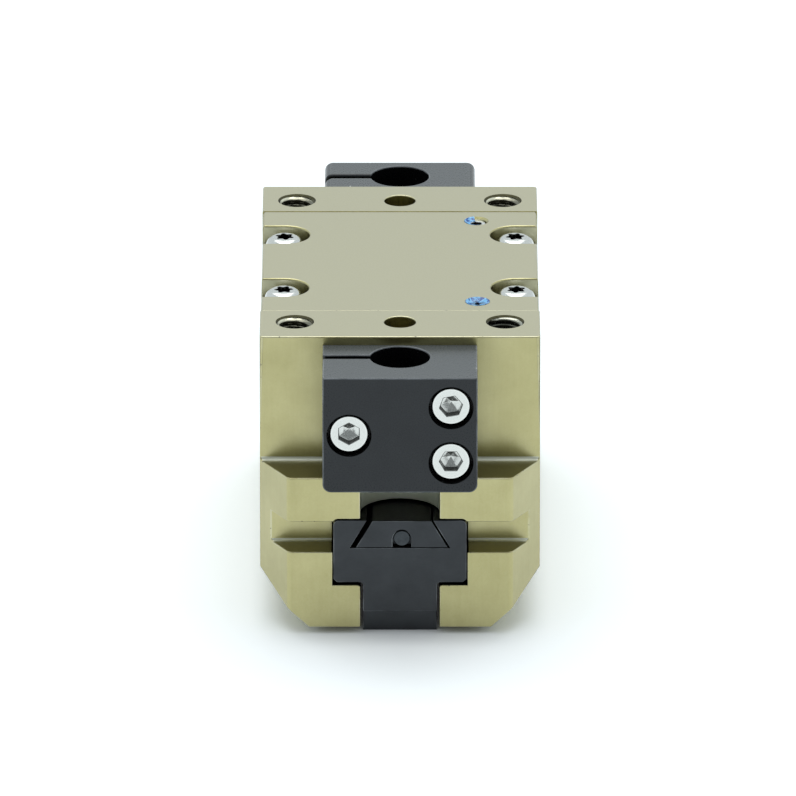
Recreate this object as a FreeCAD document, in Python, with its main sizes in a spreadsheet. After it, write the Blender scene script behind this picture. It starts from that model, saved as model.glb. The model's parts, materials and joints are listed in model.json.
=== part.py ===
import FreeCAD
import Part
import Sketcher
import os

# Pneumatic parallel gripper with T-slot jaws, driven by a piston and a wedge hook.
# +Z is up, the jaws point down, +Y runs along the jaws' travel and Z = 0 is the fingers' seat.

doc = FreeCAD.newDocument("ParallelGripper")
sheet = doc.addObject("Spreadsheet::Sheet", "Sizes")

sizes = {
    # Housing, outside
    "body_width": 40.0,
    "body_height": 41.65,
    "block_length": 62.0,
    "wall_height": 18.8,
    "land_reach": 7.25,
    "land_inset": 0.5,
    "land_taper": 3.55,
    "groove_drop": 25.5,
    "groove_height": 4.6,
    "groove_depth": 4.5,
    "underside_chamfer_width": 7.0,
    "underside_chamfer_height": 6.5,
    "ledge_fillet": 0.5,
    "groove_fillet": 0.45,
    # Mounting face
    "mount_pitch_x": 30.0,
    "mount_pitch_y": 50.0,
    "mount_thread": 5.0,
    "mount_thread_depth": 10.0,
    "mount_chamfer": 5.5,
    "locating_bore": 4.5,
    "locating_depth": 8.0,
    # T-slot and jaws
    "jaw_proud": 0.95,
    "tee_drop": 25.1,
    "head_width": 19.0,
    "head_height": 9.5,
    "stem_width": 10.6,
    "head_side_gap": 0.1,
    "head_top_gap": 0.15,
    "head_shoulder_gap": 0.4,
    "stem_gap": 0.33,
    "tee_corner": 0.8,
    "shoulder_fillet": 0.45,
    "head_foot_chamfer": 0.5,
    "jaw_inner_end": 6.4,
    "jaw_step_depth": 1.4,
    "jaw_step_height": 3.4,
    "finger_thread": 4.0,
    "finger_thread_depth": 7.0,
    "finger_pitch": 12.0,
    "finger_first": 18.5,
    # Switching cam in the jaw's dovetail
    "dovetail_top": 9.4,
    "dovetail_depth": 4.2,
    "dovetail_run": 0.577,
    "dovetail_length": 14.0,
    "cam_top": 8.38,
    "cam_height": 4.12,
    "cam_length": 12.0,
    "cam_shift": 0.27,
    "cam_screw_diameter": 2.5,
    "cam_screw_length": 5.0,
    "cam_screw_rise": 1.45,
    "cam_screw_hex": 1.3,
    "cam_notch_width": 2.65,
    "cam_notch_depth": 1.2,
    # Cylinder, piston and seals
    "cylinder_bore": 30.0,
    "cylinder_floor": 5.6,
    "piston_height": 6.0,
    "piston_lift": 0.3,
    "piston_gap": 0.05,
    "piston_groove_width": 2.4,
    "piston_groove_depth": 1.7,
    "rod_diameter": 12.0,
    "rod_gap": 0.05,
    "seal_cord": 1.5,
    "seal_gap": 0.03,
    # Wedge hook
    "wedge_floor": 2.4,
    "wedge_height": 6.8,
    "wedge_slope": 0.75,
    "wedge_half_base": 6.0,
    "wedge_width": 10.0,
    "rail_neck_width": 3.5,
    "rail_neck_reach": 1.9,
    "rail_head_width": 7.5,
    "rail_head_reach": 2.5,
    "rail_gap": 0.2,
    "wedge_screw_diameter": 4.0,
    "wedge_screw_length": 10.0,
    "wedge_screw_head": 7.0,
    "wedge_screw_head_height": 4.0,
    "wedge_screw_hex": 3.0,
    # Cover plate
    "cover_length": 41.0,
    "cover_thickness": 5.0,
    "cover_drop": 0.05,
    "cover_end_gap": 0.1,
    "cover_side_gap": 0.15,
    "cover_seal_diameter": 33.2,
    "cover_screw_edge": 3.3,
    "cover_screw_pitch_y": 21.8,
    "pocket_radius": 3.6,
    "pocket_depth": 2.7,
    "pan_head_diameter": 5.6,
    "pan_head_height": 2.4,
    "pan_head_edge": 0.7,
    "pan_screw_length": 9.0,
    "lobe_tip": 2.7,
    "lobe_root": 1.9,
    "lobe_depth": 1.2,
    # Air ports
    "plug_x": 11.1,
    "plug_margin": 3.9,
    "plug_length": 4.0,
    "plug_sink": 0.4,
    "plug_hex": 1.5,
    "plug_chamfer": 3.6,
    "air_passage": 2.4,
    "side_port_thread": 5.0,
    "side_port_depth": 6.0,
    "side_port_drop": 11.0,
    # Sensor brackets
    "sensor_axis": 4.9,
    "rear_sensor_axis": 7.6,
    "sensor_slot_radius": 5.65,
    "bracket_width": 22.0,
    "bracket_depth": 13.5,
    "bracket_height": 17.4,
    "bracket_drop": 1.2,
    "bracket_corner": 1.2,
    "sensor_bore": 8.5,
    "slit_width": 1.3,
    "slit_lip": 0.4,
    "bracket_screw_edge": 3.77,
    "bracket_screw_pitch": 8.35,
    # M3 screws
    "screw_diameter": 3.0,
    "screw_thread_gap": 0.05,
    "screw_clear_hole": 3.3,
    "cap_head_diameter": 5.5,
    "cap_head_height": 3.0,
    "cap_head_sink": 0.7,
    "cap_head_chamfer": 0.3,
    "cap_hex": 2.5,
    "cap_hex_depth": 1.5,
    "cap_counterbore": 6.4,
    "cap_screw_length": 18.0,
    "tapped_hole_spare": 1.0,
}
for row, (alias, size) in enumerate(sizes.items(), start=1):
    sheet.set(f"A{row}", alias)
    sheet.set(f"B{row}", str(size))
    sheet.setAlias(f"B{row}", alias)
doc.recompute()

# Levels and half sizes that several pieces share, as formulas of the sheet's cells
top = "(Sizes.jaw_proud + Sizes.body_height)"
underside = "Sizes.jaw_proud"
half_width = "Sizes.body_width / 2"
wall = "(Sizes.block_length / 2)"
land_end = f"({wall} + Sizes.land_reach)"
ledge = f"({top} - Sizes.wall_height)"
ceiling = f"({top} - Sizes.tee_drop)"
head_top = f"({ceiling} - Sizes.head_top_gap)"
head_foot = f"({head_top} - Sizes.head_height)"
shoulder = f"({head_foot} - Sizes.head_shoulder_gap)"
cover_top = f"({top} - Sizes.cover_drop)"
cover_seat = f"({cover_top} - Sizes.cover_thickness)"
cylinder_bottom = f"({ceiling} + Sizes.cylinder_floor)"
piston_foot = f"({cylinder_bottom} + Sizes.piston_lift)"
wedge_top = "(Sizes.wedge_floor + Sizes.wedge_height)"
dovetail_floor = f"({head_top} - Sizes.dovetail_depth)"
bracket_top = f"({top} - Sizes.bracket_drop)"
bracket_foot = f"({bracket_top} - Sizes.bracket_height)"
bracket_middle = f"({bracket_top} - Sizes.bracket_height / 2)"
sensor_y = f"({wall} + Sizes.sensor_axis)"
bracket_screw_x = "(Sizes.bracket_width / 2 - Sizes.bracket_screw_edge)"
tapped_radius = "Sizes.screw_diameter / 2"
shank_radius = "(Sizes.screw_diameter / 2 - Sizes.screw_thread_gap)"
side_port_z = f"({top} - Sizes.side_port_drop)"
seal_radius = "(Sizes.seal_cord / 2)"
cover_screw_x = f"({half_width} - Sizes.cover_screw_edge)"
cover_screw_y = "(Sizes.cover_screw_pitch_y / 2)"
plug_y = "(Sizes.cover_length / 2 - Sizes.plug_margin)"
beyond = "1"
signs = [(sx, sy) for sx in ("", "-") for sy in ("", "-")]

# Turns of the screws about their own axes, in degrees, as they happened to be tightened
pan_spins = (10, 25, 40, 5)
upper_spin, lower_spin, clamp_spin = 20, 0, 30
lobe_count = 6


def value(formula):
    return float(sheet.evalExpression(formula))


def flank(level, reach="0"):
    # Distance from the middle to the wedge's inclined flank at a level, plus a reach along Y
    return f"(Sizes.wedge_half_base + ({level} - Sizes.wedge_floor) * Sizes.wedge_slope + {reach})"


def new_body(label):
    body = doc.addObject("PartDesign::Body", label)
    body.Label = label
    return body


def new_sketch(body, plane, offset):
    sketch = body.newObject("Sketcher::SketchObject", "Sketch")
    support = next(f for f in body.Origin.OriginFeatures if f.Role == plane)
    sketch.AttachmentSupport = [(support, "")]
    sketch.MapMode = "FlatFace"
    sketch.setExpression("AttachmentOffset.Base.z", offset)
    sketch.Visibility = False
    return sketch


def place_point(sketch, geometry, point, x, y):
    for kind, formula in (("DistanceX", x), ("DistanceY", y)):
        index = sketch.addConstraint(Sketcher.Constraint(kind, -1, 1, geometry, point, value(formula)))
        sketch.setExpression(f"Constraints[{index}]", formula)


def draw_outline(sketch, points):
    # Closed polygon whose every corner is bound to its two formulas
    first = sketch.GeometryCount
    corners = [FreeCAD.Vector(value(x), value(y), 0) for x, y in points]
    following = corners[1:] + corners[:1]
    for start, end in zip(corners, following):
        sketch.addGeometry(Part.LineSegment(start, end))
    count = len(points)
    for i, (x, y) in enumerate(points):
        after = first + (i + 1) % count
        sketch.addConstraint(Sketcher.Constraint("Coincident", first + i, 2, after, 1))
        place_point(sketch, first + i, 1, x, y)


def draw_circle(sketch, x, y, radius):
    centre = FreeCAD.Vector(value(x), value(y), 0)
    circle = sketch.addGeometry(Part.Circle(centre, FreeCAD.Vector(0, 0, 1), value(radius)))
    place_point(sketch, circle, 3, x, y)
    index = sketch.addConstraint(Sketcher.Constraint("Radius", circle, value(radius)))
    sketch.setExpression(f"Constraints[{index}]", radius)


def draw_hexagon(sketch, across_flats):
    # Regular hexagon about the sketch's origin, with two corners on its X axis
    corner = f"({across_flats} / sqrt(3))"
    half = f"({across_flats} / 2)"
    points = [(corner, "0"), (f"{corner} / 2", half), (f"-{corner} / 2", half)]
    points += [(f"-{corner}", "0"), (f"-{corner} / 2", f"-{half}"), (f"{corner} / 2", f"-{half}")]
    draw_outline(sketch, points)


def rectangle(x0, x1, y0, y1):
    return [(x0, y0), (x1, y0), (x1, y1), (x0, y1)]


def extrude(body, kind, plane, low, high, outlines=(), circles=()):
    # A pad rises along the plane's normal and a pocket sinks against it. The XZ plane's normal is -Y.
    cutting = kind == "Pocket"
    if plane == "XZ_Plane":
        offset = f"-({low})" if cutting else f"-({high})"
    else:
        offset = high if cutting else low
    before = body.Shape.Volume if cutting else 0
    sketch = new_sketch(body, plane, offset)
    for points in outlines:
        draw_outline(sketch, points)
    for x, y, radius in circles:
        draw_circle(sketch, x, y, radius)
    feature = body.newObject(f"PartDesign::{kind}", kind)
    feature.Profile = sketch
    feature.setExpression("Length", f"({high}) - ({low})")
    doc.recompute()
    if cutting and not body.Shape.Volume < before:
        raise RuntimeError(f"a cut in {body.Label} removes nothing")
    return feature


def pad(body, plane, low, high, **shapes):
    return extrude(body, "Pad", plane, low, high, **shapes)


def pocket(body, plane, low, high, **shapes):
    return extrude(body, "Pocket", plane, low, high, **shapes)


def revolve(body, points):
    # Half section in the XZ plane, turned about Z
    sketch = new_sketch(body, "XZ_Plane", "0")
    draw_outline(sketch, points)
    feature = body.newObject("PartDesign::Revolution", "Revolution")
    feature.Profile = sketch
    feature.ReferenceAxis = (sketch, ["V_Axis"])
    feature.Angle = 360
    doc.recompute()
    return feature


def hex_socket(body, level, across_flats, depth):
    sketch = new_sketch(body, "XY_Plane", level)
    draw_hexagon(sketch, across_flats)
    socket = body.newObject("PartDesign::Pocket", "Socket")
    socket.Profile = sketch
    socket.setExpression("Length", depth)
    doc.recompute()


def tapped_holes(body, plane, offset, centres, diameter, depth, mouth, reverse=False):
    # Plain holes at the thread's outer diameter, with a 90 degree chamfer at the mouth
    sketch = new_sketch(body, plane, offset)
    for x, y in centres:
        draw_circle(sketch, x, y, f"{diameter} / 2")
    doc.recompute()
    before = body.Shape.Volume
    hole = body.newObject("PartDesign::Hole", "Hole")
    hole.Profile = sketch
    doc.recompute()
    hole.ThreadType = "None"
    hole.DepthType = "Dimension"
    hole.DrillPoint = "Flat"
    hole.Reversed = reverse
    hole.HoleCutType = "Countersink"
    hole.HoleCutCustomValues = True
    hole.HoleCutCountersinkAngle = 90
    hole.setExpression("Diameter", diameter)
    hole.setExpression("Depth", depth)
    hole.setExpression("HoleCutDiameter", mouth)
    doc.recompute()
    if not body.Shape.Volume < before:
        raise RuntimeError(f"a hole in {body.Label} removes nothing")


def round_edges(body, kind, size, test):
    # Fillet or chamfer on the edges of the body's last feature that pass a test
    base = body.Tip
    names = [f"Edge{i}" for i, edge in enumerate(base.Shape.Edges, start=1) if test(edge)]
    feature = body.newObject(f"PartDesign::{kind}", kind)
    feature.Base = (base, names)
    feature.setExpression("Radius" if kind == "Fillet" else "Size", size)
    doc.recompute()
    return feature


def close(a, b):
    return abs(a - b) < 1e-4


def along_y(edge, x, z):
    # True for a straight edge parallel to Y at a distance x from the middle plane, at level z
    level = all(close(abs(v.X), x) and close(v.Z, z) for v in edge.Vertexes)
    return level and close(edge.Vertexes[0].X, edge.Vertexes[-1].X)


def across_x(edge, y, z):
    # True for an edge across the body at a distance y from the middle, at level z
    return all(close(abs(v.Y), y) and close(v.Z, z) for v in edge.Vertexes)


def half_turn(body):
    # The rear pieces are the front ones turned half a turn about Z
    body.Placement = FreeCAD.Placement(FreeCAD.Vector(), FreeCAD.Rotation(FreeCAD.Vector(0, 0, 1), 180))


def copies(label, master, places):
    # A node made of placed copies of one master: (x, y, z formulas, rotation) each
    links = []
    for x, y, z, rotation in places:
        link = doc.addObject("App::Link", f"{label}_copy")
        link.LinkedObject = master
        link.Placement = FreeCAD.Placement(FreeCAD.Vector(), rotation)
        for axis, formula in zip("xyz", (x, y, z)):
            link.setExpression(f"Placement.Base.{axis}", formula)
        links.append(link)
    group = doc.addObject("Part::Compound", label)
    group.Label = label
    group.Links = links
    doc.recompute()
    return group


def seal_ring(label, radius, level):
    # Ring of square section about Z
    body = new_body(label)
    revolve(body, rectangle(f"{radius} - {seal_radius}", f"{radius} + {seal_radius}",
                            f"{level} - {seal_radius}", f"{level} + {seal_radius}"))
    return body


# Ring sections that are shared by a seal and its groove
rod_seal_radius = f"(Sizes.rod_diameter / 2 + Sizes.rod_gap + {seal_radius})"
rod_seal_level = f"({ceiling} + Sizes.cylinder_floor / 2)"
cover_seal_level = f"({cover_seat} + {seal_radius} + Sizes.seal_gap)"
cover_seal_radius = "(Sizes.cover_seal_diameter / 2)"
groove_half = f"({seal_radius} + Sizes.seal_gap)"


def make_housing():
    body = new_body("housing")
    pad(body, "XY_Plane", underside, top,
        outlines=[rectangle(f"-{half_width}", half_width, f"-{wall}", wall)])

    # Lands: the lower part reaches past the end walls, with tapered corners
    inner_x = f"({half_width} - Sizes.land_inset)"
    outer_x = f"({inner_x} - Sizes.land_taper)"
    plan = [(f"-{outer_x}", f"-{land_end}"), (outer_x, f"-{land_end}"), (inner_x, f"-{wall}")]
    plan += [(inner_x, wall), (outer_x, land_end), (f"-{outer_x}", land_end)]
    plan += [(f"-{inner_x}", wall), (f"-{inner_x}", f"-{wall}")]
    pad(body, "XY_Plane", underside, ledge, outlines=[plan])

    round_edges(body, "Fillet", "Sizes.ledge_fillet",
                lambda edge: across_x(edge, value(wall), value(ledge)))

    # Bevelled long edges of the underside
    bevels = []
    for side in ("", "-"):
        outside = f"{side}({half_width} + {beyond})"
        foot = f"({half_width} - Sizes.underside_chamfer_width)"
        rise = f"({underside} + Sizes.underside_chamfer_height)"
        corners = [(f"{side}{foot}", underside), (f"{side}{half_width}", rise), (outside, rise)]
        corners += [(outside, f"{underside} - {beyond}"), (f"{side}{foot}", f"{underside} - {beyond}")]
        bevels.append(corners)
    far = f"({land_end} + {beyond})"
    pocket(body, "XZ_Plane", f"-{far}", far, outlines=bevels)

    # T-slot for both jaws
    head = "(Sizes.head_width / 2 + Sizes.head_side_gap)"
    stem = "(Sizes.stem_width / 2 + Sizes.stem_gap)"
    low = f"({underside} - {beyond})"
    tee = [(f"-{stem}", low), (stem, low), (stem, shoulder), (head, shoulder), (head, ceiling)]
    tee += [(f"-{head}", ceiling), (f"-{head}", shoulder), (f"-{stem}", shoulder)]
    pocket(body, "XZ_Plane", f"-{far}", far, outlines=[tee])
    round_edges(body, "Fillet", "Sizes.tee_corner",
                lambda edge: along_y(edge, value(head), value(ceiling)))
    round_edges(body, "Fillet", "Sizes.shoulder_fillet",
                lambda edge: along_y(edge, value(stem), value(shoulder)))

    # Horizontal grooves across the lands
    groove_top = f"({top} - Sizes.groove_drop)"
    groove_foot = f"({groove_top} - Sizes.groove_height)"
    groove_back = f"({land_end} - Sizes.groove_depth)"
    grooves = [rectangle(groove_back, far, groove_foot, groove_top),
               rectangle(f"-{far}", f"-{groove_back}", groove_foot, groove_top)]
    side = f"({half_width} + {beyond})"
    pocket(body, "YZ_Plane", f"-{side}", side, outlines=grooves)
    round_edges(body, "Fillet", "Sizes.groove_fillet",
                lambda edge: across_x(edge, value(groove_back), value(groove_foot)))

    # Room for the sensor's tip above each jaw, open to the end
    slot = "Sizes.sensor_slot_radius"
    slot_floor = f"({ceiling} - {beyond})"
    pocket(body, "XY_Plane", slot_floor, ledge,
           circles=[("0", sensor_y, slot), ("0", f"-{sensor_y}", slot)])
    mouths = [rectangle(f"-{slot}", slot, sensor_y, far),
              rectangle(f"-{slot}", slot, f"-{far}", f"-{sensor_y}")]
    pocket(body, "XY_Plane", slot_floor, ledge, outlines=mouths)

    # Seat of the cover, cylinder, rod hole and the rod seal's groove
    cover_end = "(Sizes.cover_length / 2)"
    pocket(body, "XY_Plane", cover_seat, f"{top} + {beyond}",
           outlines=[rectangle(f"-{side}", side, f"-{cover_end}", cover_end)])
    pocket(body, "XY_Plane", cylinder_bottom, cover_seat, circles=[("0", "0", "Sizes.cylinder_bore / 2")])
    pocket(body, "XY_Plane", f"{ceiling} - {beyond}", cylinder_bottom,
           circles=[("0", "0", "Sizes.rod_diameter / 2 + Sizes.rod_gap")])
    pocket(body, "XY_Plane", f"{rod_seal_level} - {groove_half}", f"{rod_seal_level} + {groove_half}",
           circles=[("0", "0", f"{rod_seal_radius} + {groove_half}")])

    # Mounting threads and locating bores
    corner_x = "Sizes.mount_pitch_x / 2"
    corner_y = "Sizes.mount_pitch_y / 2"
    corners = [(f"{sx}{corner_x}", f"{sy}{corner_y}") for sx, sy in signs]
    tapped_holes(body, "XY_Plane", top, corners, "Sizes.mount_thread", "Sizes.mount_thread_depth",
                 "Sizes.mount_chamfer")
    bores = [("0", corner_y, "Sizes.locating_bore / 2"), ("0", f"-{corner_y}", "Sizes.locating_bore / 2")]
    pocket(body, "XY_Plane", f"{top} - Sizes.locating_depth", top, circles=bores)

    # Tapped holes for the cover's screws and for the brackets' screws
    tips = f"({cover_top} - Sizes.pocket_depth - Sizes.pan_screw_length - Sizes.tapped_hole_spare)"
    pocket(body, "XY_Plane", tips, cover_seat,
           circles=[(f"{sx}{cover_screw_x}", f"{sy}{cover_screw_y}", tapped_radius) for sx, sy in signs])
    seat = f"({wall} + Sizes.bracket_depth - Sizes.cap_head_sink - Sizes.cap_head_height)"
    tip = f"({seat} - Sizes.cap_screw_length - Sizes.tapped_hole_spare)"
    holes = [(x, z, tapped_radius) for x, z in bracket_screw_centres()]
    pocket(body, "XZ_Plane", f"-{wall}", f"-{tip}", circles=holes)
    pocket(body, "XZ_Plane", tip, wall, circles=holes)

    # Air passages below the cover's direct ports, met by the threaded ports in the side
    bore = "Sizes.air_passage / 2"
    thread = "Sizes.side_port_thread / 2"
    port_floor = f"({half_width} - Sizes.side_port_depth)"
    rows = (plug_y, f"-{plug_y}")
    pocket(body, "XY_Plane", side_port_z, cover_seat, circles=[("Sizes.plug_x", y, bore) for y in rows])
    pocket(body, "YZ_Plane", "Sizes.plug_x", port_floor, circles=[(y, side_port_z, bore) for y in rows])
    pocket(body, "YZ_Plane", port_floor, half_width, circles=[(y, side_port_z, thread) for y in rows])
    return body


def bracket_screw_centres():
    # Two screws hold the bracket on the +X side, and one on the -X side closes its slit
    half_pitch = "Sizes.bracket_screw_pitch / 2"
    return [(bracket_screw_x, f"{bracket_middle} + {half_pitch}"),
            (bracket_screw_x, f"{bracket_middle} - {half_pitch}"),
            (f"-{bracket_screw_x}", bracket_middle)]


def make_cover():
    body = new_body("cover_plate")
    half_x = f"({half_width} - Sizes.cover_side_gap)"
    half_y = "(Sizes.cover_length / 2 - Sizes.cover_end_gap)"
    pad(body, "XY_Plane", cover_seat, cover_top,
        outlines=[rectangle(f"-{half_x}", half_x, f"-{half_y}", half_y)])

    # Pockets for the screw heads, open to the long sides
    centres = [(f"{sx}{cover_screw_x}", f"{sy}{cover_screw_y}") for sx, sy in signs]
    floor = f"({cover_top} - Sizes.pocket_depth)"
    pocket(body, "XY_Plane", floor, cover_top, circles=[(x, y, "Sizes.pocket_radius") for x, y in centres])
    mouths = []
    for sx, sy in signs:
        mouths.append(rectangle(f"{sx}{cover_screw_x}", f"{sx}({half_width} + {beyond})",
                                f"{sy}{cover_screw_y} - Sizes.pocket_radius",
                                f"{sy}{cover_screw_y} + Sizes.pocket_radius"))
    pocket(body, "XY_Plane", floor, cover_top, outlines=mouths)
    pocket(body, "XY_Plane", cover_seat, floor,
           circles=[(x, y, "Sizes.screw_clear_hole / 2") for x, y in centres])

    # Direct air ports and the seal's groove in the lower face
    tapped_holes(body, "XY_Plane", cover_top, [("Sizes.plug_x", plug_y), ("Sizes.plug_x", f"-{plug_y}")],
                 "Sizes.screw_diameter", "Sizes.cover_thickness", "Sizes.plug_chamfer")
    groove_top = f"({cover_seal_level} + {groove_half})"
    pocket(body, "XY_Plane", cover_seat, groove_top,
           circles=[("0", "0", f"{cover_seal_radius} + {groove_half}"),
                    ("0", "0", f"{cover_seal_radius} - {groove_half}")])
    return body


def make_pan_screw():
    # Pan-head screw, top of the head at Z = 0, with a six-lobe recess
    body = new_body("pan_screw")
    head = "Sizes.pan_head_diameter / 2"
    foot = "-Sizes.pan_head_height"
    tip = f"({foot} - Sizes.pan_screw_length)"
    revolve(body, [("0", "0"), (f"{head} - Sizes.pan_head_edge", "0"), (head, "-Sizes.pan_head_edge * 2"),
                   (head, foot), (shank_radius, foot), (shank_radius, tip), ("0", tip)])
    star = []
    for i in range(2 * lobe_count):
        across = "Sizes.lobe_root" if i % 2 else "Sizes.lobe_tip"
        turn = f"{180 / lobe_count * i} deg"
        star.append((f"{across} / 2 * cos({turn})", f"{across} / 2 * sin({turn})"))
    pocket(body, "XY_Plane", "-Sizes.lobe_depth", "0", outlines=[star])
    return body


def make_cap_screw(label, diameter, length, head_diameter, head_height, hexagon, hex_depth):
    # Socket cap screw, top of the head at Z = 0
    body = new_body(label)
    head = f"({head_diameter} / 2)"
    bevel = "Sizes.cap_head_chamfer"
    shank = f"({diameter} / 2 - Sizes.screw_thread_gap)"
    tip = f"(-{head_height} - {length})"
    revolve(body, [("0", "0"), (f"{head} - {bevel}", "0"), (head, f"-{bevel}"), (head, f"-{head_height}"),
                   (shank, f"-{head_height}"), (shank, tip), ("0", tip)])
    hex_socket(body, "0", hexagon, hex_depth)
    return body


def make_set_screw(label, diameter, length, hexagon):
    # Headless socket screw, upper end at Z = 0
    body = new_body(label)
    radius = f"({diameter} / 2 - Sizes.screw_thread_gap)"
    pad(body, "XY_Plane", f"-{length}", "0", circles=[("0", "0", radius)])
    hex_socket(body, "0", hexagon, f"{length} / 2")
    return body


def make_piston():
    body = new_body("piston")
    disc = "(Sizes.cylinder_bore / 2 - Sizes.piston_gap)"
    crown = f"({piston_foot} + Sizes.piston_height)"
    middle = f"({piston_foot} + Sizes.piston_height / 2)"
    groove_low = f"({middle} - Sizes.piston_groove_width / 2)"
    groove_high = f"({middle} + Sizes.piston_groove_width / 2)"
    groove_floor = f"({disc} - Sizes.piston_groove_depth)"
    rod = "Sizes.rod_diameter / 2"
    thread = "Sizes.wedge_screw_diameter / 2"
    web = "(Sizes.wedge_height - Sizes.wedge_screw_head_height - Sizes.rail_gap)"
    thread_end = f"({wedge_top} - {web} + Sizes.wedge_screw_length + Sizes.tapped_hole_spare)"
    revolve(body, [("0", crown), (disc, crown), (disc, groove_high), (groove_floor, groove_high),
                   (groove_floor, groove_low), (disc, groove_low), (disc, piston_foot), (rod, piston_foot),
                   (rod, wedge_top), (thread, wedge_top), (thread, thread_end), ("0", thread_end)])
    return body


def make_piston_seal():
    body = new_body("piston_seal")
    middle = f"({piston_foot} + Sizes.piston_height / 2)"
    half = "(Sizes.piston_groove_width / 2 - Sizes.seal_gap)"
    outer = "(Sizes.cylinder_bore / 2 - Sizes.seal_gap)"
    inner = "(Sizes.cylinder_bore / 2 - Sizes.piston_gap - Sizes.piston_groove_depth + Sizes.seal_gap)"
    revolve(body, rectangle(inner, outer, f"{middle} - {half}", f"{middle} + {half}"))
    return body


def make_wedge():
    # Block with inclined flanks and a T-shaped rail along each flank
    body = new_body("wedge_hook")
    base = "Sizes.wedge_floor"
    half = "Sizes.wedge_width / 2"
    low = flank(base)
    high = flank(wedge_top)
    pad(body, "YZ_Plane", f"-{half}", half,
        outlines=[[(f"-{low}", base), (low, base), (high, wedge_top), (f"-{high}", wedge_top)]])
    reach = "(Sizes.rail_neck_reach + Sizes.rail_head_reach)"
    layers = [("Sizes.rail_neck_width / 2", "0", reach),
              ("Sizes.rail_head_width / 2", "Sizes.rail_neck_reach", reach)]
    for half_rail, start, end in layers:
        strips = []
        for side in ("", "-"):
            strips.append([(f"{side}{flank(base, start)}", base), (f"{side}{flank(base, end)}", base),
                           (f"{side}{flank(wedge_top, end)}", wedge_top),
                           (f"{side}{flank(wedge_top, start)}", wedge_top)])
        pad(body, "YZ_Plane", f"-{half_rail}", half_rail, outlines=strips)
    recess = f"({base} + Sizes.wedge_screw_head_height + Sizes.rail_gap)"
    pocket(body, "XY_Plane", base, recess,
           circles=[("0", "0", "Sizes.wedge_screw_head / 2 + Sizes.rail_gap")])
    pocket(body, "XY_Plane", recess, wedge_top,
           circles=[("0", "0", "Sizes.wedge_screw_diameter / 2 + Sizes.screw_thread_gap")])
    return body


def make_jaw(label):
    # Base jaw at the front (-Y): T-shaped guide, inclined hook slot, cam dovetail and finger threads
    body = new_body(label)
    head = "Sizes.head_width / 2"
    stem = "Sizes.stem_width / 2"
    tee = [(f"-{stem}", "0"), (stem, "0"), (stem, head_foot), (head, head_foot), (head, head_top)]
    tee += [(f"-{head}", head_top), (f"-{head}", head_foot), (f"-{stem}", head_foot)]
    pad(body, "XZ_Plane", f"-{land_end}", "-Sizes.jaw_inner_end", outlines=[tee])
    round_edges(body, "Fillet", "Sizes.tee_corner",
                lambda edge: along_y(edge, value(head), value(head_top)))
    round_edges(body, "Chamfer", "Sizes.head_foot_chamfer",
                lambda edge: along_y(edge, value(head), value(head_foot)))
    round_edges(body, "Fillet", "Sizes.shoulder_fillet",
                lambda edge: along_y(edge, value(stem), value(head_foot)))

    # Inclined inner end and the T-slot for the wedge's rail
    above = f"({head_top} + {beyond})"
    base = "Sizes.wedge_floor"
    wide = f"({head} + {beyond})"
    gap = "Sizes.rail_gap"
    pocket(body, "YZ_Plane", f"-{wide}", wide,
           outlines=[[("0", base), (f"-{flank(base, gap)}", base),
                      (f"-{flank(above, gap)}", above), ("0", above)]])
    foot = f"({base} - {gap})"
    neck = "Sizes.rail_neck_reach"
    back = f"({neck} + Sizes.rail_head_reach + {gap})"
    layers = [("Sizes.rail_neck_width / 2", f"-{gap}", back),
              ("Sizes.rail_head_width / 2", f"({neck} - {gap})", back)]
    for half_rail, start, end in layers:
        half = f"({half_rail} + {gap})"
        strip = [(f"-{flank(foot, start)}", foot), (f"-{flank(foot, end)}", foot),
                 (f"-{flank(above, end)}", above), (f"-{flank(above, start)}", above)]
        pocket(body, "YZ_Plane", f"-{half}", half, outlines=[strip])

    # Dovetail for the cam, open at the outer end
    narrow = "Sizes.dovetail_top / 2"
    broad = f"({narrow} + Sizes.dovetail_depth * Sizes.dovetail_run)"
    inner = f"({land_end} - Sizes.dovetail_length)"
    outer = f"({land_end} + {beyond})"
    pocket(body, "XZ_Plane", f"-{outer}", f"-{inner}",
           outlines=[[(f"-{broad}", dovetail_floor), (broad, dovetail_floor),
                      (narrow, head_top), (f"-{narrow}", head_top)]])

    # Rebate at the lower outer end, and threads for the fingers
    rebate = f"({land_end} - Sizes.jaw_step_depth)"
    pocket(body, "XZ_Plane", f"-{outer}", f"-{rebate}",
           outlines=[rectangle(f"-{wide}", wide, f"-{beyond}", "Sizes.jaw_step_height")])
    second = "(Sizes.finger_first + Sizes.finger_pitch)"
    thread = "Sizes.finger_thread / 2"
    pocket(body, "XY_Plane", "0", "Sizes.finger_thread_depth",
           circles=[("0", "-Sizes.finger_first", thread), ("0", f"-{second}", thread)])
    return body


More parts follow.
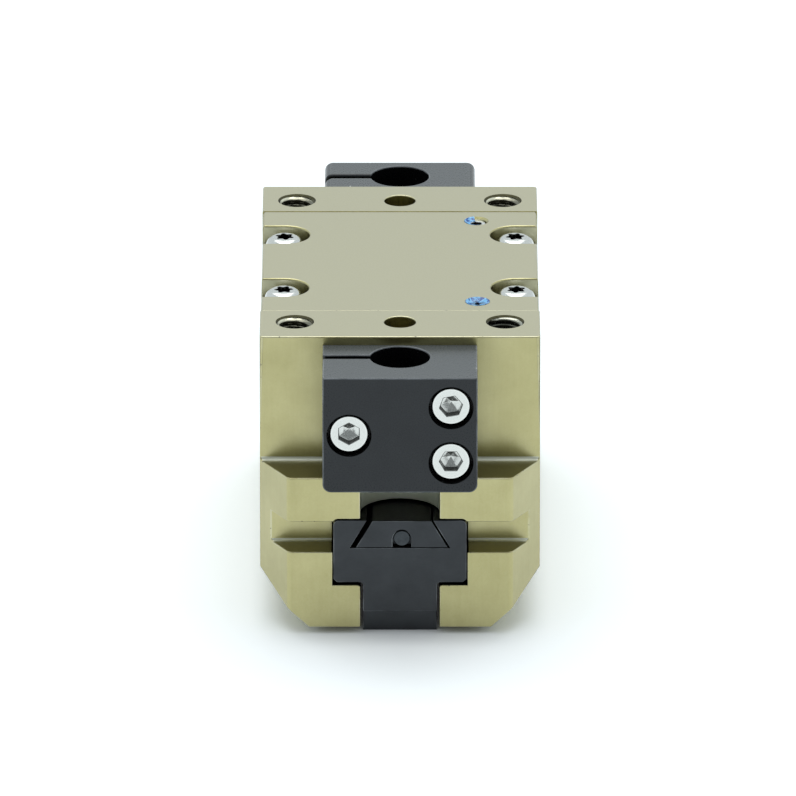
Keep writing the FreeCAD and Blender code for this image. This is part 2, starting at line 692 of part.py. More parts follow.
def make_cam(label):
    body = new_body(label)
    narrow = "Sizes.cam_top / 2"
    broad = f"({narrow} + Sizes.cam_height * Sizes.dovetail_run)"
    shift = "Sizes.cam_shift"
    crest = f"({dovetail_floor} + Sizes.cam_height)"
    section = [(f"{shift} - {broad}", dovetail_floor), (f"{shift} + {broad}", dovetail_floor),
               (f"{shift} + {narrow}", crest), (f"{shift} - {narrow}", crest)]
    pad(body, "XZ_Plane", f"-{land_end}", f"-({land_end} - Sizes.cam_length)", outlines=[section])
    level = f"{dovetail_floor} + Sizes.cam_screw_rise"
    tip = f"({land_end} - Sizes.cam_screw_length - Sizes.tapped_hole_spare)"
    pocket(body, "XZ_Plane", f"-{land_end}", f"-{tip}",
           circles=[(shift, level, "Sizes.cam_screw_diameter / 2")])
    notch = "Sizes.cam_notch_width / 2"
    notch_end = f"({land_end} - Sizes.cam_notch_depth)"
    pocket(body, "XZ_Plane", f"-{land_end}", f"-{notch_end}",
           outlines=[rectangle(f"{shift} - {notch}", f"{shift} + {notch}", dovetail_floor, level)])
    return body


def make_bracket(label, axis):
    # Sensor clamp on the front wall: a block with a vertical bore, slit open on the -X side.
    # The axis is the bore's distance from the wall.
    body = new_body(label)
    bore_y = f"({wall} + {axis})"
    half = "(Sizes.bracket_width / 2)"
    front = f"({wall} + Sizes.bracket_depth)"
    pad(body, "XZ_Plane", f"-{front}", f"-{wall}",
        outlines=[rectangle(f"-{half}", half, bracket_foot, bracket_top)])
    round_edges(body, "Fillet", "Sizes.bracket_corner",
                lambda edge: along_y(edge, value(half), value(bracket_foot)))
    bore = "Sizes.sensor_bore / 2"
    pocket(body, "XY_Plane", bracket_foot, bracket_top, circles=[("0", f"-{bore_y}", bore)])
    slit_low = f"-({bore_y} + Sizes.slit_width / 2)"
    slit_high = f"-({bore_y} - Sizes.slit_width / 2)"
    pocket(body, "XY_Plane", bracket_foot, bracket_top,
           outlines=[rectangle(f"-({half} + {beyond})", "0", slit_low, slit_high)])

    def slit_mouth(edge):
        sides = (value(slit_low), value(slit_high))
        return all(close(v.X, -value(half)) and any(close(v.Y, y) for y in sides) for v in edge.Vertexes)
    round_edges(body, "Fillet", "Sizes.slit_lip", slit_mouth)
    centres = bracket_screw_centres()
    pocket(body, "XZ_Plane", f"-{front}", f"-{wall}",
           circles=[(x, z, "Sizes.screw_clear_hole / 2") for x, z in centres])
    floor = f"({front} - Sizes.cap_head_sink - Sizes.cap_head_height)"
    pocket(body, "XZ_Plane", f"-{front}", f"-{floor}",
           circles=[(x, z, "Sizes.cap_counterbore / 2") for x, z in centres])
    return body


def turned(axis, angle, spin=0):
    # Rotation about a row axis, after a spin about the piece's own Z axis
    return FreeCAD.Rotation(axis, angle) * FreeCAD.Rotation(FreeCAD.Vector(0, 0, 1), spin)


along_x = FreeCAD.Vector(1, 0, 0)
upright = FreeCAD.Rotation()
nodes = []

nodes.append(make_housing())
nodes.append(make_cover())
nodes.append(seal_ring("cover_seal", cover_seal_radius, cover_seal_level))
nodes.append(seal_ring("rod_seal", rod_seal_radius, rod_seal_level))

# Screws of the cover
pan_screw = make_pan_screw()
pan_level = f"{cover_top} - Sizes.pocket_depth + Sizes.pan_head_height"
pan_places = []
for (sx, sy), spin in zip(signs, pan_spins):
    pan_places.append((f"{sx}{cover_screw_x}", f"{sy}{cover_screw_y}", pan_level, turned(along_x, 0, spin)))
nodes.append(copies("cover_screws", pan_screw, pan_places))

# Plugs of the direct air ports
plug = make_set_screw("port_plug", "Sizes.screw_diameter", "Sizes.plug_length", "Sizes.plug_hex")
for label, sy in (("port_plug_front", "-"), ("port_plug_rear", "")):
    place = ("Sizes.plug_x", f"{sy}{plug_y}", f"{cover_top} - Sizes.plug_sink", upright)
    nodes.append(copies(label, plug, [place]))

# Piston with its seal, wedge hook and screw
nodes.append(make_piston())
nodes.append(make_piston_seal())
nodes.append(make_wedge())
wedge_screw = make_cap_screw("wedge_cap_screw", "Sizes.wedge_screw_diameter", "Sizes.wedge_screw_length",
                             "Sizes.wedge_screw_head", "Sizes.wedge_screw_head_height",
                             "Sizes.wedge_screw_hex", "Sizes.wedge_screw_head_height / 2")
wedge_screw_face = "Sizes.wedge_floor + Sizes.rail_gap"
nodes.append(copies("wedge_screw", wedge_screw, [("0", "0", wedge_screw_face, turned(along_x, 180))]))

# Jaws with their cams and cam screws
cam_screw = make_set_screw("cam_set_screw", "Sizes.cam_screw_diameter", "Sizes.cam_screw_length",
                           "Sizes.cam_screw_hex")
cam_screw_z = f"{dovetail_floor} + Sizes.cam_screw_rise"
for end, side, facing in (("front", "-", 90), ("rear", "", -90)):
    jaw = make_jaw(f"jaw_{end}")
    cam = make_cam(f"cam_{end}")
    if end == "rear":
        half_turn(jaw)
        half_turn(cam)
    shift = "Sizes.cam_shift" if end == "front" else "-Sizes.cam_shift"
    nodes.append(jaw)
    nodes.append(cam)
    nodes.append(copies(f"cam_screw_{end}", cam_screw,
                        [(shift, f"{side}{land_end}", cam_screw_z, turned(along_x, facing))]))

# Sensor brackets with their screws. The rear bracket is turned over about X, and its bore stands further out.
cap_screw = make_cap_screw("cap_screw", "Sizes.screw_diameter", "Sizes.cap_screw_length",
                           "Sizes.cap_head_diameter", "Sizes.cap_head_height",
                           "Sizes.cap_hex", "Sizes.cap_hex_depth")
head_face = f"({wall} + Sizes.bracket_depth - Sizes.cap_head_sink)"
bracket_ends = (("front", "-", 90, "Sizes.sensor_axis"), ("rear", "", -90, "Sizes.rear_sensor_axis"))
for end, side, facing, axis in bracket_ends:
    bracket = make_bracket(f"bracket_{end}", axis)
    if end == "rear":
        bracket.Placement = FreeCAD.Placement(FreeCAD.Vector(), FreeCAD.Rotation(along_x, 180))
        bracket.setExpression("Placement.Base.z", f"2 * {bracket_middle}")
    nodes.append(bracket)
    upper, lower, clamp = bracket_screw_centres()
    screws = []
    for (x, z), spin in ((upper, upper_spin), (lower, lower_spin), (clamp, clamp_spin)):
        screws.append((x, f"{side}{head_face}", z, turned(along_x, facing, spin)))
    nodes.append(copies(f"bracket_screws_{end}", cap_screw, screws[:2]))
    nodes.append(copies(f"clamp_screw_{end}", cap_screw, screws[2:]))

doc.recompute()
for thing in doc.Objects:
    if "Invalid" in thing.State or "Error" in thing.State:
        raise RuntimeError(f"{thing.Label} failed: {thing.State}")
for node in nodes:
    if node.Shape.isNull() or not node.Shape.isValid():
        raise RuntimeError(f"{node.Label} has no valid shape")

os.makedirs("parts", exist_ok=True)
for node in nodes:
    node.Shape.exportStep(f"parts/{node.Label}.step")
    print(node.Label, len(node.Shape.Solids), round(node.Shape.Volume, 2))
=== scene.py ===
import bmesh
import bpy
import json
import math
import numpy as np
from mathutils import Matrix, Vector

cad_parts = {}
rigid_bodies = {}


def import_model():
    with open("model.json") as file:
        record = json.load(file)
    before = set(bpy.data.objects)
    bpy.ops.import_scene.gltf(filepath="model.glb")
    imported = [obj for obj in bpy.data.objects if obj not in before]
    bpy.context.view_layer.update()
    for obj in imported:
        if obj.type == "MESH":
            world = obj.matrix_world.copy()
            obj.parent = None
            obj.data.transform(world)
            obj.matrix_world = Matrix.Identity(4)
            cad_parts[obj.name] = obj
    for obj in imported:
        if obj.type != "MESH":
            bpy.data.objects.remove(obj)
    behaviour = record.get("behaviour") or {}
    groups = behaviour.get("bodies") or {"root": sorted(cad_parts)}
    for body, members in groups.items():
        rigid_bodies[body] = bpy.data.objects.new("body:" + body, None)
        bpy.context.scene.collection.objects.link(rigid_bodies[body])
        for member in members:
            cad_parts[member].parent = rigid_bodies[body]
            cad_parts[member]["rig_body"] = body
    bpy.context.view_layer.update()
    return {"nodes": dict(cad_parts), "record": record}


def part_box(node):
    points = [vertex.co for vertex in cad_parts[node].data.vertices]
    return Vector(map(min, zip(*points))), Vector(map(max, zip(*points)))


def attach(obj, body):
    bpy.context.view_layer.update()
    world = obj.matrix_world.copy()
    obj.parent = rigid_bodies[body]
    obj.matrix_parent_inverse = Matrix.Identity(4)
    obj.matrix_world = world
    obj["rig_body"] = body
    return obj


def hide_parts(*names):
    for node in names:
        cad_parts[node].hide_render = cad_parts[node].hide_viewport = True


# Parallel gripper standing on its jaws, mounting face up, seen end-on from a little above.
# Lengths in the dictionaries are millimetres; meshes are metres in the frame's own axes.

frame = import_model()
scene = bpy.context.scene
nodes = frame["nodes"]
mounts = {mount["name"]: mount for mount in frame["record"]["mounts"]}
mm = 0.001
outwardOf = {"front": (0, -1, 0), "rear": (0, 1, 0)}   # the gripper's two ends and the way out at each
print("frame loaded:", len(nodes), "nodes")


def hexLinear(code):
    # sRGB hex to linear RGBA: the standard curve, straight below 0.04045
    srgb = np.array([int(code[i:i + 2], 16) for i in (1, 3, 5)]) / 255
    linear = np.where(srgb <= 0.04045, srgb / 12.92, ((srgb + 0.055) / 1.055) ** 2.4)
    return (*linear.tolist(), 1.0)


def addNode(tree, kind, settings, links):
    # Settings go to a shader node's sockets, by name or number, or to its own properties; links feed sockets.
    # By number, a map range takes its limits at 1 and 2 and gives those at 3 and 4, and a colour mix has its
    # share at 0 and its two colours at 6 and 7.
    node = tree.nodes.new("ShaderNode" + kind)
    for name, value in settings.items():
        if isinstance(name, int) or name in node.inputs:
            node.inputs[name].default_value = value
        else:
            setattr(node, name, value)
    for name, source in links.items():
        tree.links.new(source, node.inputs[name])
    return node


def newMaterial(name, surface):
    # A principled surface whose fixed numbers are set on its sockets, and the object's own coordinates
    material = bpy.data.materials.new(name)
    material.use_nodes = True
    tree = material.node_tree
    principled = tree.nodes["Principled BSDF"]
    for socket, value in surface.items():
        principled.inputs[socket].default_value = value
    coords = addNode(tree, "TexCoord", {}, {}).outputs["Object"]
    return material, tree, principled, coords


def markedColour(tree, colour, mark, code):
    # The colour gives way to the hex code's where the piece's attribute of that name marks it
    share = addNode(tree, "Attribute", {"attribute_name": mark}, {}).outputs["Fac"]
    return addNode(tree, "Mix", {"data_type": "RGBA", 7: hexLinear(code)}, {0: share, 6: colour}).outputs[2]


def rubbedAndLitEdges(tree, colour, mottle, look):
    # The edges marked worn are rubbed paler, in patches that follow the mottle: partly real rubbing, partly a
    # painted highlight along the edges
    (low, high), (least, most) = look["rubFrom"], look["rubTo"]
    wornAndLit = addNode(tree, "Attribute", {"attribute_name": "wornAndLit"}, {}).outputs["Fac"]
    patches = addNode(tree, "MapRange", {1: low, 2: high, 3: least, 4: most},
                      {"Value": mottle}).outputs["Result"]
    share = addNode(tree, "Math", {"operation": "MULTIPLY"}, {0: wornAndLit, 1: patches}).outputs["Value"]
    return addNode(tree, "Mix", {"data_type": "RGBA", 7: hexLinear(look["rubbedAndLit"])},
                   {0: share, 6: colour}).outputs[2]


noiseSpan = (0.3, 0.7)    # most values of a noise lie between these


def feedSurface(tree, principled, colour, pattern, look):
    # The colour, and a sheen and a relief that follow one pattern. Sheen is the least and the most roughness,
    # relief the bump's strength and its height in mm.
    (least, most), (strength, height) = look["sheen"], look["relief"]
    rough = addNode(tree, "MapRange", {1: noiseSpan[0], 2: noiseSpan[1], 3: least, 4: most},
                    {"Value": pattern}).outputs["Result"]
    bump = addNode(tree, "Bump", {"Strength": strength, "Distance": height * mm},
                   {"Height": pattern}).outputs["Normal"]
    for socket, source in (("Base Color", colour), ("Roughness", rough), ("Normal", bump)):
        tree.links.new(source, principled.inputs[socket])
    return rough


def hardAnodisedAluminium():
    # Aluminium, milled and hard anodised: a thin clear oxide over olive metal.
    # The eye gets a satin sheen, a fine matt grain, slow tone changes and paler rubbed edges, partly real
    # rubbing and partly a painted highlight; a painted reflection makes the mounting face greyer and paler;
    # painted light turns the rough bare metal round the sensor slots, in the lands' fillets and on the
    # pockets' sides near white;
    # and painted shade blackens the guides, holes and hollows.
    look = {"olive": "#a59d60", "pale": "#b4ac72", "rubbedAndLit": "#c9c6a4", "nick": "#3b3826",
            "paintedTopSheen": "#bcb58d", "bareAndLit": "#f0f2e2", "shadeTone": "#16150e", "glance": "#a9a9ac",
            "grain": 0.28, "mottle": 6.0, "streak": 0.5, "streakRun": 12, "nickSize": 0.5,
            "grainShare": 0.45, "streakShare": 0.25, "toneRange": (0.62, 1.08),
            "rubFrom": (0.4, 0.65), "rubTo": (0.05, 0.6), "nickFrom": (0.69, 0.73), "nickShare": 0.8,
            "sheen": (0.3, 0.4), "bareRough": 0.35, "relief": (0.35, 0.02),
            "oxideRough": 0.24, "oxideIor": 1.8, "shadeDullsCoat": 0.9}
    material, tree, principled, coords = newMaterial("hardAnodisedAluminium", {
        "Metallic": 1.0, "Coat Roughness": look["oxideRough"], "Coat IOR": look["oxideIor"],
        "Specular Tint": hexLinear(look["glance"])})
    grain, mottle, chips = [
        addNode(tree, "TexNoise", {"Scale": 1 / (look[size] * mm), "Detail": detail, "Roughness": rough},
                {"Vector": coords}).outputs["Fac"]
        for size, detail, rough in (("grain", 3.0, 0.65), ("mottle", 4.0, 0.6), ("nickSize", 1.0, 0.5))]
    wornAndLit, bareAndLit, paintedShade = [addNode(tree, "Attribute", {"attribute_name": mark}, {}).outputs["Fac"]
                         for mark in ("wornAndLit", "bareAndLit", "paintedShade")]
    across, along = 1 / (look["streak"] * mm), 1 / (look["streakRun"] * look["streak"] * mm)
    streakSpace = addNode(tree, "Mapping", {"Scale": [across, across, along]},
                          {"Vector": coords}).outputs["Vector"]
    streak = addNode(tree, "TexNoise", {"Scale": 1.0, "Detail": 2.0},
                     {"Vector": streakSpace}).outputs["Fac"]
    tone = mottle
    for pattern, part in ((grain, "grainShare"), (streak, "streakShare")):
        tone = addNode(tree, "Math", {"operation": "MULTIPLY_ADD", 1: look[part]},
                       {0: pattern, 2: tone}).outputs["Value"]
    share = addNode(tree, "MapRange", {1: look["toneRange"][0], 2: look["toneRange"][1], 3: 0.0, 4: 1.0},
                    {"Value": tone}).outputs["Result"]
    tones = {"data_type": "RGBA", 6: hexLinear(look["olive"]), 7: hexLinear(look["pale"])}
    sides = addNode(tree, "Mix", tones, {0: share}).outputs[2]
    # Painted reflection: the mounting face is painted greyer and paler for the white surround it shows at a
    # glance
    body = markedColour(tree, sides, "paintedTopSheen", look["paintedTopSheen"])
    # Rubbed edges, paler: partly real rubbing, partly a painted highlight along the edges
    edged = rubbedAndLitEdges(tree, body, mottle, look)
    chipped = addNode(tree, "MapRange",
                      {1: look["nickFrom"][0], 2: look["nickFrom"][1], 3: 0.0, 4: look["nickShare"]},
                      {"Value": chips}).outputs["Result"]
    nicked = addNode(tree, "Math", {"operation": "MULTIPLY"}, {0: wornAndLit, 1: chipped}).outputs["Value"]
    nicks = addNode(tree, "Mix", {"data_type": "RGBA", 7: hexLinear(look["nick"])},
                    {0: nicked, 6: edged}).outputs[2]
    # Painted light: the faces marked bare turn near white, for the lit sensor slot openings, the fillets'
    # highlight lines and the pockets' lit sides
    milled = markedColour(tree, nicks, "bareAndLit", look["bareAndLit"])
    # Painted shade: near black where shade falls, in the guides, holes and hollows
    colour = markedColour(tree, milled, "paintedShade", look["shadeTone"])
    satin = feedSurface(tree, principled, colour, grain, look)
    rough = addNode(tree, "Math", {"operation": "MULTIPLY_ADD", 1: look["bareRough"]},
                    {0: bareAndLit, 2: satin}).outputs["Value"]
    tree.links.new(rough, principled.inputs["Roughness"])   # bare metal is rougher than the rest
    # The clear coat is thinned where the painted shade lies
    clear = addNode(tree, "Math", {"operation": "MULTIPLY_ADD", 1: -look["shadeDullsCoat"], 2: 1.0},
                    {0: paintedShade}).outputs["Value"]
    tree.links.new(clear, principled.inputs["Coat Weight"])
    return material


def blackAnodisedAluminium():
    # Aluminium, milled and black anodised: a dyed oxide, near black from the front and grey at a glance.
    # A grey film on its upward faces is painted light for the overhead lamp, a few specks of dust lie on
    # them, and the rubbed edges are greyer, partly real rubbing and partly a painted highlight. Painted shade
    # blackens its hollows.
    look = {"black": "#2a2c2f", "soft": "#323538", "rubbedAndLit": "#84888c", "film": "#565a5b",
            "speck": "#d9dad6", "hollow": "#040405", "grain": 0.25, "mottle": 4.0,
            "dustStep": 3.2, "dustSize": 0.055, "dustMissing": 0.3,
            "rubFrom": (0.35, 0.6), "rubTo": (0.15, 0.7), "sheen": (0.24, 0.34), "relief": (0.15, 0.015)}
    material, tree, principled, coords = newMaterial("blackAnodisedAluminium", {
        "Metallic": 0.0, "IOR": 1.5, "Specular IOR Level": 0.3})
    grain, mottle = [addNode(tree, "TexNoise", {"Scale": 1 / (look[size] * mm), "Detail": 3.0},
                             {"Vector": coords}).outputs["Fac"] for size in ("grain", "mottle")]
    tones = {"data_type": "RGBA", 6: hexLinear(look["black"]), 7: hexLinear(look["soft"])}
    body = addNode(tree, "Mix", tones, {0: mottle}).outputs[2]
    # Painted light: a grey film on the upward faces, for the overhead lamp
    filmed = markedColour(tree, body, "dustAndTopLight", look["film"])
    edged = rubbedAndLitEdges(tree, filmed, mottle, look)
    cells = addNode(tree, "TexVoronoi", {"Scale": 1 / (look["dustStep"] * mm)}, {"Vector": coords})
    speck = addNode(tree, "Math", {"operation": "LESS_THAN", 1: look["dustSize"]},
                    {0: cells.outputs["Distance"]}).outputs["Value"]
    chosen = addNode(tree, "Math", {"operation": "GREATER_THAN", 1: look["dustMissing"]},
                     {0: cells.outputs["Color"]}).outputs["Value"]
    dustAndTopLight = addNode(tree, "Attribute", {"attribute_name": "dustAndTopLight"}, {}).outputs["Fac"]
    for limit in (chosen, dustAndTopLight):
        speck = addNode(tree, "Math", {"operation": "MULTIPLY"}, {0: speck, 1: limit}).outputs["Value"]
    dusty = addNode(tree, "Mix", {"data_type": "RGBA", 7: hexLinear(look["speck"])},
                    {0: speck, 6: edged}).outputs[2]
    # Painted shade: near black in the bore, slit and counterbores
    colour = markedColour(tree, dusty, "paintedShade", look["hollow"])
    feedSurface(tree, principled, colour, grain, look)
    return material


def blackenedSteel(name, look):
    # Hardened steel, ground and blackened: dark grey with a soft sheen and fine grinding lines across.
    # The lines are drawn coarser than real ones so that they show. Painted shade blackens the guides and the
    # gap under the cams, and the rubbed edges are paler, partly real rubbing and partly a painted highlight.
    look = dict(look, shadeTone="#060606", lineRun=6, rubFrom=(0.4, 0.65), rubTo=(0.05, 0.7),
                relief=(0.25, 0.01))
    material, tree, principled, coords = newMaterial(name, {"Metallic": 1.0})
    along, across = 1 / (look["lineRun"] * look["line"] * mm), 1 / (look["line"] * mm)
    lineSpace = addNode(tree, "Mapping", {"Scale": [along, across, across]},
                        {"Vector": coords}).outputs["Vector"]
    grinding = addNode(tree, "TexNoise", {"Scale": 1.0, "Detail": 3.0},
                       {"Vector": lineSpace}).outputs["Fac"]
    mottle = addNode(tree, "TexNoise", {"Scale": 1 / (look["mottle"] * mm), "Detail": 4.0},
                     {"Vector": coords}).outputs["Fac"]
    tones = {"data_type": "RGBA", 6: hexLinear(look["dark"]), 7: hexLinear(look["light"])}
    body = addNode(tree, "Mix", tones, {0: mottle}).outputs[2]
    edged = rubbedAndLitEdges(tree, body, mottle, look)
    # Painted shade: near black on the faces marked for it
    colour = markedColour(tree, edged, "paintedShade", look["shadeTone"])
    feedSurface(tree, principled, colour, grinding, look)
    return material


def brightMetal(name, look):
    # Bare metal, turned or rolled: a clear reflection that fine marks and handling soften unevenly.
    # Painted shade darkens the insides of its sockets and threads, and a little the tops of screw heads, so
    # that their rims and the domes' feet read as highlights.
    look = dict(look, socketShade="#14120d", relief=(0.2, 0.006))
    material, tree, principled, coords = newMaterial(name, {"Metallic": 1.0})
    marks = addNode(tree, "TexNoise", {"Scale": 1 / (look["mark"] * mm), "Detail": 3.0},
                    {"Vector": coords}).outputs["Fac"]
    tones = {"data_type": "RGBA", 6: hexLinear(look["dark"]), 7: hexLinear(look["light"])}
    clean = addNode(tree, "Mix", tones, {0: marks}).outputs[2]
    # Painted shade: dark where the piece is marked
    colour = markedColour(tree, clean, "paintedShade", look["socketShade"])
    feedSurface(tree, principled, colour, marks, look)
    return material


def softMaterial(name, look):
    # Moulded rubber or dried sealant: no metal, with a slightly uneven skin
    look = dict(look, relief=(0.4, 0.03))
    material, tree, principled, coords = newMaterial(name, {"Metallic": 0.0, "IOR": look["ior"]})
    lumps = addNode(tree, "TexNoise", {"Scale": 1 / (look["lump"] * mm), "Detail": 2.0},
                    {"Vector": coords}).outputs["Fac"]
    share = addNode(tree, "MapRange", {1: look["patch"][0], 2: look["patch"][1]},
                    {"Value": lumps}).outputs["Result"]
    tones = {"data_type": "RGBA", 6: hexLinear(look["dark"]), 7: hexLinear(look["light"])}
    skin = addNode(tree, "Mix", tones, {0: share}).outputs[2]
    # Painted shade: the deep colour where the piece is marked, as round the plug's socket under the sealant
    colour = markedColour(tree, skin, "paintedShade", look["deep"])
    feedSurface(tree, principled, colour, lumps, look)
    return material


finishes = {
    "anodised": hardAnodisedAluminium(),
    "black": blackAnodisedAluminium(),
    "jaw": blackenedSteel("blackenedJawSteel", {
        "dark": "#3a3c3e", "light": "#484a4d", "rubbedAndLit": "#8c9092", "line": 0.12, "mottle": 3.0,
        "sheen": (0.34, 0.46)}),
    "darkScrew": blackenedSteel("blackOxideScrewSteel", {
        "dark": "#34373a", "light": "#4c5053", "rubbedAndLit": "#9a9c9e", "line": 0.1, "mottle": 1.0,
        "sheen": (0.26, 0.38)}),
    "wedge": brightMetal("groundToolSteel", {
        "dark": "#8d8d8f", "light": "#b0b0b1", "mark": 0.3, "sheen": (0.25, 0.4)}),
    "piston": brightMetal("turnedAluminium", {
        "dark": "#b9b9b6", "light": "#d5d5d2", "mark": 0.2, "sheen": (0.28, 0.4)}),
    "screw": brightMetal("stainlessScrewSteel", {
        "dark": "#cfd0cb", "light": "#ebece8", "mark": 0.25, "sheen": (0.16, 0.28)}),
    "wire": brightMetal("stainlessInsertWire", {
        "dark": "#8a8a7c", "light": "#c6c6b8", "mark": 0.2, "sheen": (0.2, 0.34)}),
    "cutThread": brightMetal("cutAluminiumThread", {
        "dark": "#c2bfa6", "light": "#dedcc8", "mark": 0.2, "sheen": (0.24, 0.36)}),
    "plug": brightMetal("zincPlatedSteel", {
        "dark": "#b6b9bd", "light": "#e6e8ea", "mark": 0.15, "sheen": (0.22, 0.36)}),
    "rubber": softMaterial("nitrileRubber", {
        "dark": "#111214", "light": "#1c1d1f", "deep": "#08090a", "lump": 0.4, "patch": (0.35, 0.65),
        "ior": 1.52, "sheen": (0.5, 0.65)}),
    "sealant": softMaterial("driedThreadSealant", {
        "dark": "#124a9e", "light": "#7cc4f5", "deep": "#081a42", "lump": 0.5, "patch": (0.4, 0.54),
        "ior": 1.5, "sheen": (0.08, 0.2)}),
}
print("materials:", len(finishes))


def addPiece(name, mesh, finish, body, replaced):
    # Puts a mesh into the scene as a piece that rides on a body and may stand for a CAD node
    mesh.materials.clear()
    mesh.materials.append(finishes[finish])
    piece = bpy.data.objects.new(name, mesh)
    scene.collection.objects.link(piece)
    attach(piece, body)
    if replaced:
        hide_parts(replaced)


def makePiece(name, parts, finish, body, replaced=None, sharpDeg=30):
    # Joins (points in mm with painted shade, faces) parts into one mesh that rides on a body
    points = np.concatenate([part[0] for part in parts])
    starts = np.cumsum([0] + [len(part[0]) for part in parts[:-1]])
    faces = [[int(start) + i for i in face] for start, part in zip(starts, parts) for face in part[1]]
    mesh = bpy.data.meshes.new(name)
    mesh.from_pydata((points[:, :3] * mm).tolist(), [], faces)
    mesh.attributes.new("paintedShade", "FLOAT", "POINT").data.foreach_set("value", points[:, 3].copy())
    mesh.shade_smooth()
    mesh.set_sharp_from_angle(angle=math.radians(sharpDeg))
    addPiece(name, mesh, finish, body, replaced)


def ringLoft(rings, closed=False):
    # Rings of equal count joined by quads. The ends are closed by polygons, or the last ring meets the first.
    count, around = rings.shape[:2]
    steps = count if closed else count - 1
    i, j = np.meshgrid(np.arange(steps), np.arange(around), indexing="ij")
    up, beside = (i + 1) % count, (j + 1) % around
    quads = np.stack([i * around + j, i * around + beside, up * around + beside, up * around + j], -1)
    faces = quads.reshape(-1, 4).tolist()
    if not closed:
        faces.append(list(range(around - 1, -1, -1)))
        faces.append(list(range((count - 1) * around, count * around)))
    return rings.reshape(-1, 4), faces


roundPoints = 144    # points round each turned piece
innermost = 0.04     # a last ring this small, as a share of its radius, closes a turned piece at its axis
theta = np.linspace(0, 2 * np.pi, roundPoints, endpoint=False)


def turned(profile):
    # Profile of (radius, height) or (radius, height, painted shade) points carried round Z; a radius may be
    # an array over the angle. The fourth column is the painted shade, from 0 clean to 1 black.
    radii = np.stack([np.broadcast_to(point[0], theta.shape) for point in profile])
    heights = np.array([point[1] for point in profile])[:, None] + 0 * theta
    paintedShade = np.array([point[2] if len(point) > 2 else 0.0 for point in profile])[:, None] + 0 * theta
    return np.stack([radii * np.cos(theta), radii * np.sin(theta), heights, paintedShade], -1)


def hexagon(acrossFlats, spinDeg):
    # Distance to a hexagon's side: half the flats over the cosine of the angle from that side's middle
    fromMiddle = np.mod(theta - math.radians(spinDeg), np.pi / 3) - np.pi / 6
    return acrossFlats / 2 / np.cos(fromMiddle)


def sixLobe(tip, root, spinDeg):
    # Six round lobes: the mean radius plus a cosine of six times the angle
    return (tip + root) / 4 + (tip - root) / 4 * np.cos(6 * (theta - math.radians(spinDeg)))


def placed(rings, origin, outward):
    # Turns a piece made along +Z so that +Z points outward, and moves it to its place
    z = np.array(outward, float)
    y = np.array((0.0, 1.0, 0.0)) if abs(z[2]) > 0.5 else np.array((0.0, 0.0, 1.0))
    x = np.cross(y, z)
    return np.concatenate([rings[..., :3] @ np.stack([x, y, z]) + np.array(origin), rings[..., 3:]], -1)


def boxMm(node):
    # The lowest and highest corner of a CAD node
    low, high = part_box(node)
    return np.array(low) / mm, np.array(high) / mm


def outerPlace(node, end):
    # The middle of a node's outer face: its low Y at the front, its high Y at the rear
    low, high = boxMm(node)
    centre = (low + high) / 2
    return centre[0], low[1] if end == "front" else high[1], centre[2]


def topPlace(node):
    # The middle of a node's top
    low, high = boxMm(node)
    centre = (low + high) / 2
    return centre[0], centre[1], high[2]


def patternCentres(mount):
    # The centres of a bolt pattern's holes
    dims, origin = mount["dims"], np.array(mount["pos_m"]) / mm
    alongX, alongY = [[s * dims[key] / 2 for s in (-1, 1)] if key in dims else [0]
                      for key in ("spacing_x_mm", "spacing_y_mm")]
    return [origin + np.array((x, y, 0)) for x in alongX for y in alongY]


coverBox = boxMm("cover_plate")
bodyTop = boxMm("housing")[1][2]
wallY = -boxMm("bracket_front")[1][1]    # the end walls lie at this Y and its opposite
plugPlaces = [topPlace(f"port_plug_{end}") for end in outwardOf]

# Edges are broken where faces meet at more than the corner angle; short ones need the steeper angle.
# The cover's joint, the counterbores' mouths and the recess behind a cam's set screw stay crisp.
edgeBreak = {"cornerDeg": 25, "steepDeg": 50, "shortest": 1.0, "mergeDeg": 0.4, "weld": 0.001,
             "segments": 2, "jointReach": 0.3, "boreReach": 0.9, "recessMargin": 0.15}
uprightEdge = {"round": 0.5, "segments": 5, "from": 12.0, "shortest": 5.0, "lean": 0.99}
pocketEdge = {"round": 0.28, "segments": 4, "from": 12.0, "to": 19.9, "depth": 0.05, "rim": 0.5, "clear": 2.2}
taper = {"side": 20.0, "wall": 31.0, "end": 38.25, "inner": 15.9, "level": 24.3, "draw": 0.47,
         "footLevel": 7.2, "footSlope": 0.92, "reach": 0.1, "below": 1.0}
touching = 0.01      # points this near count as one place
facing = {"exactly": 0.999, "straight": 0.9, "mostly": 0.7, "hardly": 0.3}    # cosines to an axis

counterbores = []    # X, Z and reach of each screw's mouth in the clamps
for end in outwardOf:
    for node in (f"bracket_screws_{end}", f"clamp_screw_{end}"):
        low, high = boxMm(node)
        middle, radius = (low[0] + high[0]) / 2, (high[0] - low[0]) / 2
        for level in (low[2] + radius, high[2] - radius):    # one and the same level for the single screw
            counterbores.append((middle, level, radius + edgeBreak["boreReach"]))


def edgeMiddle(edge):
    # The point halfway along an edge
    return np.array((edge.verts[0].co + edge.verts[1].co) / 2) / mm


